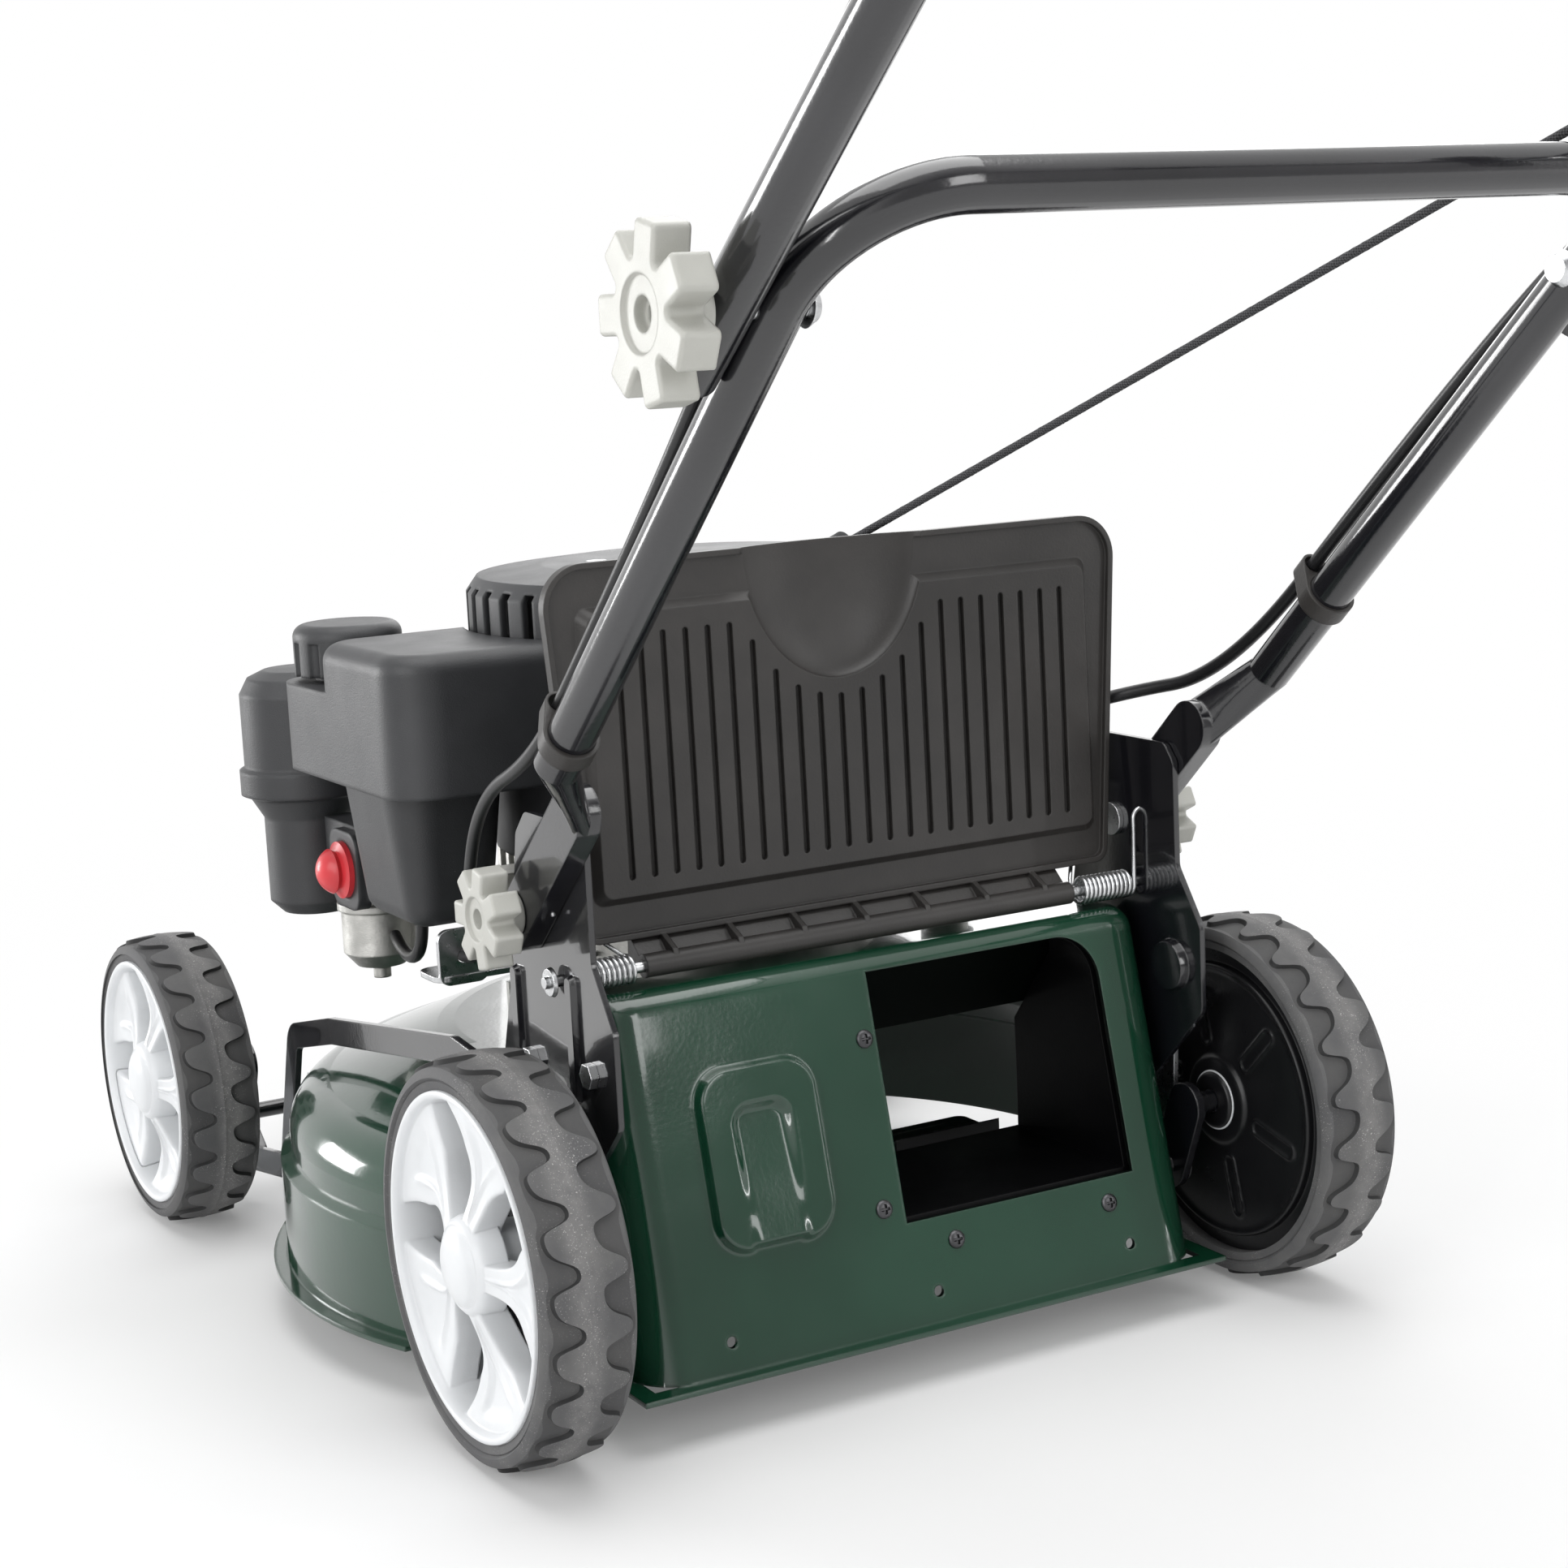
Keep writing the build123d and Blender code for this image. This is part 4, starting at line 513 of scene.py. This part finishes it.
def spoke_sheet(angle, rim_r, half):
    """One spoke: a closed section carried from hub to rim, as places along the axle, radii and angles. It waists
    at a third of the way and flares to the rim; two ridges run up it and part like a fork, and its flanks turn
    back as deep walls."""
    v = np.linspace(0, 1, 34)[:, None]
    radius = SPOKE_FOOT + (rim_r - 4.0 - SPOKE_FOOT) * v
    spread = np.radians(19.0 - 6.0 * np.sin(np.pi * rise(v, 0, 0.62)) + 10.5 * rise(v, 0.36, 0.64) ** 1.6)
    reach = radius * np.tan(spread) * (1 + 0.25 * (1 - rise(v, 0, 0.12)))
    u = np.concatenate([FLANK_U, np.linspace(-0.8, 0.8, SPOKE_COLUMNS), -FLANK_U[::-1]])
    drop = np.concatenate([FLANK_DROP, np.zeros(SPOKE_COLUMNS), FLANK_DROP[::-1]])
    dish = half - 3.6 - 5.6 * np.sin(np.pi * 0.92 * v) ** 1.2 + 2.2 * (1 - v) ** 3
    from_fork = np.abs(u) - (0.10 + 0.52 * rise(v, 0.30, 0.6))
    ridge = 1.5 * np.exp(-((from_fork / 0.085) ** 2)) * rise(v, 0.08, 0.15) * (1 - rise(v, 0.76, 0.1))
    well = 1.3 * rise(v, 0.42, 0.2) * (1 - rise(v, 0.82, 0.08)) / (1 + np.exp((from_fork + 0.07) / 0.03))
    axial = np.concatenate([dish + ridge - well - drop, np.repeat(dish - SPOKE_DEEP, 2, 1)], 1)
    across = reach * np.concatenate([u, [0.5, -0.5]])
    return axial, radius, angle + np.arctan2(across, radius)


def rim(name, body, side, x, y, radius, inner):
    """Wheel rim: a turned outer ring, five forked spokes and a domed hub with a shallow cap ring."""
    rim_r, half = radius * RIM_SHARE, WHEEL_W / 2
    centre = (side * x, y, radius)
    angles = round_angles(160)[:, None]
    ring = np.array([
        [half - 2.6, rim_r - 0.05], [half - 0.9, rim_r - 0.4], [half - 0.4, rim_r - 1.2], [half - 0.5, rim_r - 2.6],
        [half - 1.4, rim_r - 3.8], [half - 3.2, rim_r - 4.6], [half - 6, rim_r - 5.2], [half - 17, rim_r - 6.4],
        [half - 26, rim_r - 5.4], [inner + 0.8, rim_r - 4.4], [inner, rim_r - 3.4], [inner, rim_r - 0.05],
    ])
    hub = np.array([
        [half - 2, 0.01], [half - 2, 6.1], [1 - half, 6.1], [1 - half, 16.5], [half - 17, 20], [half - 16, 25],
        [half - 6, 24.4], [half - 2.6, 23.2], [half - 1.2, 21.6], [half - 0.6, 20.6], [half - 0.9, 20.0],
        [half - 0.5, 19.3], [half + 0.9, 18.2], [half + 2.4, 15.5], [half + 3.4, 11], [half + 3.9, 6],
        [half + 4.1, 0.01],
    ])
    sheets = [
        (turned(*ring.T, angles, centre, side), True, True),
        (turned(*hub.T, angles, centre, side), True, False),
    ]
    for index in range(SPOKES):
        angle = math.pi / 2 + FULL_TURN * index / SPOKES + SPOKE_TURN
        sheets.append((turned(*spoke_sheet(angle, rim_r, half), centre, side), False, True))
    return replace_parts(piece(name + "_spokes", sheets, body, RIM_SILVER, 38.0), name)


DISC_IN, DISC_OUT, DISC_COLUMNS = 26.0, 69.0, 66
LOOPS, LOOP_AT, LOOP_REACH, LOOP_HALF, LOOP_HIGH = 6, 48.0, 13.0, 4.2, 1.1


def dust_cover(name, body, side):
    """Black cover inside a rear wheel: a collar, a flat disc with a beaded edge and a sunken ring outside it.
    Six long loops stand up from the disc where the distance from a spoke line is near their half-width."""
    angles = round_angles(480)
    knee_r = [6.4, 13.0, 14.6, 15.2, 15.8, 21.0, 23.2, 23.9, 24.6]
    knee_x = [-25.2, -25.2, -24.9, -24.2, -22.6, -22.4, -22.2, -21.7, -20.4]
    edge_r = [70.0, 72.6, 73.6, 74.6, 75.4, 75.9, 76.1, 78.0, 84.3]
    edge_x = [-19.6, -19.8, -20.7, -20.9, -20.4, -19.2, -16.6, -16.2, -16.2]
    disc_r = np.linspace(DISC_IN, DISC_OUT, DISC_COLUMNS)
    disc_x = -20.1 + 0.5 * ((disc_r - DISC_IN) / (DISC_OUT - DISC_IN)) ** 2
    radius = np.concatenate([knee_r, disc_r, edge_r])
    along = np.concatenate([knee_x, disc_x, edge_x])
    share = FULL_TURN / LOOPS
    from_line = radius * ((angles + share / 4) % share - share / 2)[:, None]
    beyond = np.maximum(np.abs(radius - LOOP_AT) - LOOP_REACH, 0.0)
    from_loop = np.hypot(from_line, beyond) - LOOP_HALF
    loop = LOOP_HIGH * np.exp(-(from_loop ** 2)) * ((radius > DISC_IN) & (radius < DISC_OUT))
    grid = turned(along - loop, radius, angles[:, None], (side * REAR_X, REAR_Y, REAR_R), side)
    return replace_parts(piece(name + "_face", [(grid, True, False)], body, COVER_BLACK, 50.0), name)


for side, hand in ((-1, "left"), (1, "right")):
    tyre(f"front_{hand}_tyre", f"front_{hand}_wheel", side, FRONT_X, FRONT_Y, FRONT_R)
    tyre(f"rear_{hand}_tyre", f"rear_{hand}_wheel", side, REAR_X, REAR_Y, REAR_R)
    rim(f"front_{hand}_rim", f"front_{hand}_wheel", side, FRONT_X, FRONT_Y, FRONT_R, 2.2 - WHEEL_W / 2)
    rim(f"rear_{hand}_rim", f"rear_{hand}_wheel", side, REAR_X, REAR_Y, REAR_R, 9.0 - WHEEL_W / 2)
    dust_cover(f"rear_{hand}_dust_cover", f"rear_{hand}_wheel", side)


# Cables, hose and rope
def cord_line(route, fineness):
    """Points along a smooth cord, in metres: a NURBS spline with the route's points as its control points."""
    curve = bpy.data.curves.new("route", "CURVE")
    curve.dimensions = "3D"
    curve.resolution_u = fineness
    spline = curve.splines.new("NURBS")
    spline.points.add(len(route) - 1)
    spline.points.foreach_set("co", np.c_[np.array(route) * MM, np.ones(len(route))].ravel())
    spline.order_u = 3
    spline.use_endpoint_u = True
    holder = bpy.data.objects.new("route", curve)
    mesh = bpy.data.meshes.new_from_object(holder)
    flat = np.empty(len(mesh.vertices) * 3)
    mesh.vertices.foreach_get("co", flat)
    bpy.data.objects.remove(holder)
    bpy.data.curves.remove(curve)
    bpy.data.meshes.remove(mesh)
    return flat.reshape(-1, 3)


def tube(line, radius, sides, up):
    """A round section carried along a line in metres. Each ring lies across the line and starts square to the
    up direction; the radius may change along and round, and the ends close to a point."""
    ahead = np.gradient(line, axis=0)
    ahead /= np.linalg.norm(ahead, axis=1, keepdims=True)
    across = np.cross(ahead, np.array(up, float))
    across /= np.linalg.norm(across, axis=1, keepdims=True)
    over = np.cross(across, ahead)
    turn = round_angles(sides)[None, :, None]
    ring = np.cos(turn) * across[:, None, :] + np.sin(turn) * over[:, None, :]
    thick = np.broadcast_to(radius, (len(line), sides))[..., None] * MM
    skin = line[:, None, :] + thick * ring
    first = np.broadcast_to(line[:1, None, :], (1, sides, 3))
    last = np.broadcast_to(line[-1:, None, :], (1, sides, 3))
    return np.concatenate([first, skin, last])


def cord(name, route, radius, slot, finish, hold, up=(0, 0, 1), lay="loose", braid=0.0, fineness=24):
    """A cord. It rides on one body where hold names one; a hold of two bodies and points is not used, and the cord is
    left unattached. A braid sinks its surface where two sets of strands cross, each a wave along and round."""
    line = cord_line(route, fineness)
    step = np.linalg.norm(np.diff(line, axis=0), axis=1)
    thick, sides = radius, 14
    if braid:
        sides = 24
        turn = 3 * round_angles(sides)
        run = np.concatenate([[0.0], np.cumsum(step)])[:, None] / MM
        twist = FULL_TURN * run / (radius * 5.0)
        thick = radius * (1 - braid * np.abs(np.sin(turn + twist) * np.sin(turn - twist)))
    made = piece(name, [(tube(line, thick, sides, up), False, True)], None, finish, 60.0)
    if isinstance(hold, str):
        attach(made, hold)
    else:
        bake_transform(made)
    return made


def beside(side, x, pivot, slope, run, off):
    """A point by a handle leg, so far up its slope and so far off its upper side."""
    return (
        side * x,
        pivot[0] - run * math.cos(slope) + off * math.sin(slope),
        pivot[1] + run * math.sin(slope) + off * math.cos(slope),
    )


def lower(side, run, off):
    return beside(side, LEG_X, LOWER_PIVOT, LOWER_SLOPE, run, off)


def upper(side, run, off, inward=0.0):
    return beside(side, UPPER_X - inward, UPPER_PIVOT, UPPER_SLOPE, run, off)


def cable(name, radius, low, high, bend):
    """A sheathed cable in two pieces, parted at its clip on the lower loop. Its bend points are not used."""
    first = cord(name + "_low", low, radius, "cable_sheath", SHEATH, ("chassis", "lower_loop", *bend))
    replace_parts(first, name)
    cord(name + "_high", high, radius, "cable_sheath", SHEATH, ("lower_loop", "upper_loop", high[1], high[2]))


def cables():
    """Brake cable up the left leg, its inner wire hooked to the bail, throttle cable up the right, fuel hose."""
    low = [
        (-166, REAR_Y + 166, 209), (-166, REAR_Y + 140, 209), (-184, REAR_Y + 114, 246), (-198, REAR_Y + 56, 312),
        lower(-1, 110, 17), lower(-1, 142, 17),
    ]
    high = [lower(-1, 142, 17), lower(-1, 375, 17), upper(-1, 70, 17), upper(-1, 505, 17)]
    cable("brake_cable", 3.2, low, high, (low[2], low[4]))
    wire = [upper(-1, 500, 17), upper(-1, 550, 15.5, inward=23.5)]
    cord("brake_wire", wire, 0.9, "zinc", ZINC, ("upper_loop", "bail", *wire), lay="taut")
    low = [
        (92, REAR_Y + 121, 296), (118, REAR_Y + 100, 300), (178, REAR_Y + 50, 322),
        lower(1, 100, 19), lower(1, 184, 18),
    ]
    high = [lower(1, 184, 18), lower(1, 375, 17), upper(1, 70, 17), upper(1, 430, 17)]
    cable("throttle_cable", 3.6, low, high, (low[1], low[3]))
    hose = [
        (-168, REAR_Y + 214, 226), (-168, REAR_Y + 214, 204), (-164, REAR_Y + 250, 190), (-160, REAR_Y + 276.5, 200),
    ]
    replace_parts(cord("fuel_pipe", hose, 3.5, "cable_sheath", SHEATH, "chassis", (1, 0, 0)), "fuel_hose")


ROPE_FROM = np.array((30.0, REAR_Y + 90.0, 412.0))
ROPE_TO = np.array((186.0, REAR_Y - 381.0, 632.0))
ROPE_R = 2.2


def starter_cord():
    """Taut starter rope from the recoil cover to its guide, parted midway, and a short tail past the guide."""
    way = (ROPE_TO - ROPE_FROM) / np.linalg.norm(ROPE_TO - ROPE_FROM)
    low = [ROPE_FROM, (ROPE_FROM + ROPE_TO) / 2]
    high = [low[1], ROPE_TO - 26.0 * way]
    tail = [high[1], ROPE_TO + 9.5 * way]
    drawn = (ROPE_TO + 1.0 * way, ROPE_TO + 9.0 * way)
    taut = {"lay": "taut", "braid": 0.2, "fineness": 220}
    first = cord("starter_rope_low", low, ROPE_R, "rope", ROPE, ("chassis", "lower_loop", *low), **taut)
    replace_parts(first, "starter_rope")
    cord("starter_rope_high", high, ROPE_R, "rope", ROPE, ("lower_loop", "upper_loop", *high), **taut)
    cord("starter_rope_tail", tail, ROPE_R, "rope", ROPE, ("upper_loop", "starter", *drawn), **taut)


cables()
starter_cord()


# Flap springs
SPRING_R, SPRING_WIRE_R, SPRING_TURNS = 6.6, 1.15, 11.5
SPRING_IN, SPRING_OUT, SPRING_LEG = 134.5, 167.0, 148.0
HOOK_AT, HOOK_R, HOOK_STEPS = (172.6, -7.0, 36.0), 5.6, 14


def flap_spring(side, hand):
    """A torsion spring on the hinge rod: a helix of eleven and a half turns. Its inner leg bends up behind the
    flap and its outer leg rises along the bracket and hooks over it."""
    turn = np.linspace(0, SPRING_TURNS, 420)
    angle = FULL_TURN * turn
    coil_x = SPRING_IN + (SPRING_OUT - SPRING_IN) * turn / SPRING_TURNS
    coil = np.stack([coil_x, SPRING_R * np.cos(angle), -SPRING_R * np.sin(angle)], -1)
    behind = [(147.0, 18.3, 46.0), (147.0, 18.3, 16.0), (141.0, 15.5, 11.0), (135.0, 8.0, 5.0), (134.5, 6.6, 1.5)]
    outer = [(SPRING_OUT, -6.6, 1.5), (SPRING_OUT, -6.8, 18.0), (SPRING_OUT, -7.0, 30.0)]
    bow = np.linspace(math.pi, -0.35, HOOK_STEPS)
    hook = HOOK_AT + HOOK_R * np.stack([np.cos(bow), np.zeros(HOOK_STEPS), np.sin(bow)], -1)
    line = np.concatenate([behind, coil, outer, hook]) * (side, 1, 1) + (0, *HINGE)
    skin = tube(line * MM, SPRING_WIRE_R, 10, (1, 0.02, 0))
    made = piece(f"spring_{hand}", [(skin, False, True)], None, ZINC, 60.0)
    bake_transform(made)
    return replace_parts(made, f"{hand}_flap_spring")


flap_spring(-1, "left")
flap_spring(1, "right")


# Grip
GRIP_HALF, GRIP_R, GRIP_COLUMNS = 145.0, 15.0, 260
RING_PITCH, RING_DEEP, RING_WIDE = 36.0, 0.45, 1.6


def foam_sleeve():
    """Foam sleeve on the bar: a straight tube with rounded ends and shallow rings pressed round it."""
    end_x = GRIP_HALF - np.array([0.4, 0.0, 0.0, 0.6, 2.2, 5.0])
    end_r = np.array([11.1, 11.6, 13.0, 14.3, 14.9, GRIP_R])
    along = np.concatenate([-end_x, np.linspace(8 - GRIP_HALF, GRIP_HALF - 8, GRIP_COLUMNS), end_x[::-1]])
    radius = np.concatenate([end_r, np.full(GRIP_COLUMNS, GRIP_R), end_r[::-1]])
    from_ring = np.abs(along) % RING_PITCH - RING_PITCH / 2
    rings = RING_DEEP * np.exp(-((from_ring / RING_WIDE) ** 2)) * (np.abs(along) < GRIP_HALF - 12)
    grid = turned(along, radius - rings, round_angles(72)[:, None], (0, *GRIP_AT), 1)
    made = piece("grip_sleeve", [(grid, True, False)], "upper_loop", FOAM, 50.0)
    return made


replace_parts(foam_sleeve(), "foam_grip")


# Rear panel
ARCH_AT, ARCH_HIGH = (-86.0, 102.0), 5.2
SCREWS_AT = ((-19, 148), (-24, 62), (15, 39), (111, 39))
SCREW_R, SCREW_HIGH, CROSS_HALF, CROSS_REACH, CROSS_DEEP = 4.8, 2.3, 0.55, 2.5, 1.2


def on_panel(u, v, h):
    """Points on the leaning rear panel, in metres: across, up the slope and off its face."""
    lean_s, lean_c = math.sin(PANEL_LEAN), math.cos(PANEL_LEAN)
    y = PANEL_FOOT[0] + v * lean_s - h * lean_c
    z = PANEL_FOOT[1] + v * lean_c + h * lean_s
    return np.stack(np.broadcast_arrays(u, y, z), -1) * MM


def smooth(x):
    """Smooth step from 0 to 1."""
    x = np.clip(x, 0, 1)
    return x * x * (3 - 2 * x)


def off_round_box(u, v, half_u, half_v, corner):
    """Signed distance from a rectangle with round corners, below zero inside."""
    a = np.abs(u) - half_u + corner
    b = np.abs(v) - half_v + corner
    return np.hypot(np.maximum(a, 0), np.maximum(b, 0)) + np.minimum(np.maximum(a, b), 0) - corner


def pressed_arch():
    """The pressed arch left of the opening: a rounded plateau of 5 mm. Below its brow a ramp swells out of the
    scoop towards a sharp foot."""
    u, v = np.meshgrid(np.linspace(-36.5, 36.5, 110), np.linspace(-48.5, 48.5, 150), indexing="ij")
    plateau = ARCH_HIGH * (1 - smooth((off_round_box(u, v, 32.0, 44.0, 16.0) + 0.8) / 3.8))
    within = 1 - smooth((off_round_box(u, v + 14.0, 18.5, 42.0, 12.0) + 7.0) / 7.0)
    ramp = (0.3 + 6.6 * np.clip((24.0 - v) / 66.0, 0, 1) ** 1.15) * smooth((v + 45.5) / 4.5)
    height = np.maximum(plateau * (1 - within) + ramp * within, 0.03)
    grid = on_panel(u + ARCH_AT[0], v + ARCH_AT[1], height)
    return piece("pressed_arch", [(grid, False, False)], "chassis", DECK_GREEN, 60.0)


def liner_screws():
    """Pan-head screws round the opening: a dome with a cross sunk into it."""
    r, turn = np.meshgrid(np.linspace(0, 1, 26) ** 0.8 * SCREW_R, round_angles(72), indexing="ij")
    a, b = r * np.cos(turn), r * np.sin(turn)
    dome = SCREW_HIGH * np.sqrt(np.clip(1 - (r / (SCREW_R + 0.02)) ** 2.6, 0, 1))
    bar = np.maximum(np.abs(a) - CROSS_HALF, np.abs(b) - CROSS_REACH)
    cross = np.minimum(bar, np.maximum(np.abs(b) - CROSS_HALF, np.abs(a) - CROSS_REACH))
    height = dome - CROSS_DEEP * (1 - smooth((cross + 0.1) / 0.3)) + 0.02
    sheets = [(on_panel(a + u, b + v, height), False, True) for u, v in SCREWS_AT]
    return piece("liner_screws", sheets, "chassis", SCREW_BLACK, 35.0)


pressed_arch()
liner_screws()


# Floor, light and camera
DECK_ON_FLOOR = {"Location": (0.0, -0.28, 0.0), "Scale": (1.15, 1.0, 1.0)}
DIM_TOWARDS = (0.22, -0.95, 0.20)
LAMPS = (
    ("overhead_box", (0.0, 0.1, 2.6), (0, 0.1, 0.1), 2.4, 2.4, 46),
    ("left_box", (-2.6, -0.6, 1.5), (0, 0.1, 0.2), 1.6, 1.6, 24),
    ("bracket_box", (-2.4, 3.4, 0.55), (-0.17, 0.17, 0.22), 1.3, 1.3, 58),
    ("rear_box", (0.9, -2.9, 1.5), (0, 0.1, 0.2), 0.9, 1.5, 18),
    ("left_strip", (-2.2, -1.5, 0.9), (-0.2, 0.1, 0.4), 0.12, 2.0, 12),
    ("right_strip", (2.2, -1.7, 1.1), (0.2, 0.1, 0.5), 0.12, 2.0, 12),
    ("front_box", (1.8, 2.6, 1.8), (0, 0.2, 0.3), 2.0, 2.0, 24),
)
EYE_AT = (-0.735968, -1.081120, 0.542719)
EYE_YAW, EYE_PITCH, EYE_ROLL = 0.510949, 0.167863, -0.048075


def light_path(finish, *rays):
    """One value for each kind of ray, from a Light Path node."""
    path = finish.tree.nodes.new("ShaderNodeLightPath")
    return [Value(finish, path.outputs[f"Is {ray} Ray"]) for ray in rays]


def studio_floor():
    """Pale floor that keeps the object's shadow and fades to white away from the deck."""
    bpy.ops.mesh.primitive_plane_add(size=14.0, location=(0, 0, 0))
    floor = bpy.context.object
    floor.name = "studio_floor"
    f = Finish("floor", Roughness=0.9)
    f.set("Base Color", f.mix(f.noise(0.6, 2.0), rgb(0.80, 0.80, 0.80), rgb(0.83, 0.83, 0.83)))
    camera, glossy, through = light_path(f, "Camera", "Glossy", "Transmission")
    from_deck = f.node("ShaderNodeMapping", {}, {"Vector": f.place, **DECK_ON_FLOOR})
    away = f.node("ShaderNodeVectorMath", {"operation": "LENGTH"}, {0: from_deck}, out="Value")
    white = 0.12 + 0.70 * f.step(away, 0.34, 0.80) + 0.18 * f.step(away, 0.8, 1.8)
    glow = f.node("ShaderNodeEmission", {}, {"Color": rgb(1, 1, 1), "Strength": 1.0})
    matt = Value(f, f.shader.outputs[0])
    both = f.node("ShaderNodeMixShader", {}, {0: white * (camera + glossy + through), 1: matt, 2: glow})
    f.tree.links.new(both.socket, f.tree.nodes["Material Output"].inputs["Surface"])
    floor.data.materials.append(f.material)


def surroundings():
    """White surroundings, dimmer behind the camera where gloss mirrors them."""
    world = bpy.data.worlds.new("studio_world")
    bpy.context.scene.world = world
    world.use_nodes = True
    sky = Sky(world.node_tree)
    camera, through, mirrored = light_path(sky, "Camera", "Transmission", "Glossy")
    way = sky.node("ShaderNodeTexCoord", out="Generated")
    facing = sky.node("ShaderNodeVectorMath", {"operation": "DOT_PRODUCT"}, {0: way, 1: DIM_TOWARDS}, out="Value")
    dim = sky.step(facing, 0.62, 0.90)
    back = world.node_tree.nodes["Background"]
    back.inputs["Color"].default_value = rgb(1, 1, 1)
    sky.put(back.inputs["Strength"], 0.42 + 0.58 * (camera + through) + mirrored * (0.58 - 0.55 * dim))


def lamps():
    """Soft boxes round the mower and two upright strips behind it."""
    for name, place, aim, wide, tall, power in LAMPS:
        lamp = bpy.data.lights.new(name, "AREA")
        lamp.shape = "RECTANGLE"
        lamp.size = wide
        lamp.size_y = tall
        lamp.energy = power
        holder = bpy.data.objects.new(name, lamp)
        holder.location = place
        holder.rotation_euler = (Vector(aim) - Vector(place)).to_track_quat("-Z", "Y").to_euler()
        bpy.context.scene.collection.objects.link(holder)


def viewpoint():
    """Camera at the photograph's place: yaw about the vertical, pitch down, then a small roll."""
    level = math.cos(EYE_PITCH)
    forward = Vector((math.sin(EYE_YAW) * level, math.cos(EYE_YAW) * level, -math.sin(EYE_PITCH)))
    right = Vector((math.cos(EYE_YAW), -math.sin(EYE_YAW), 0))
    up = right.cross(forward)
    across = right * math.cos(EYE_ROLL) + up * math.sin(EYE_ROLL)
    upward = up * math.cos(EYE_ROLL) - right * math.sin(EYE_ROLL)
    turn = Matrix((across, upward, -forward)).transposed().to_4x4()
    lens = bpy.data.cameras.new("photo_view")
    lens.sensor_width = 36.0
    lens.lens = 65.583
    lens.clip_start = 0.01
    eye = bpy.data.objects.new("photo_view", lens)
    eye.matrix_world = Matrix.Translation(EYE_AT) @ turn
    bpy.context.scene.collection.objects.link(eye)
    bpy.context.scene.camera = eye


studio_floor()
surroundings()
lamps()
viewpoint()
bpy.context.scene.view_settings.view_transform = "Standard"
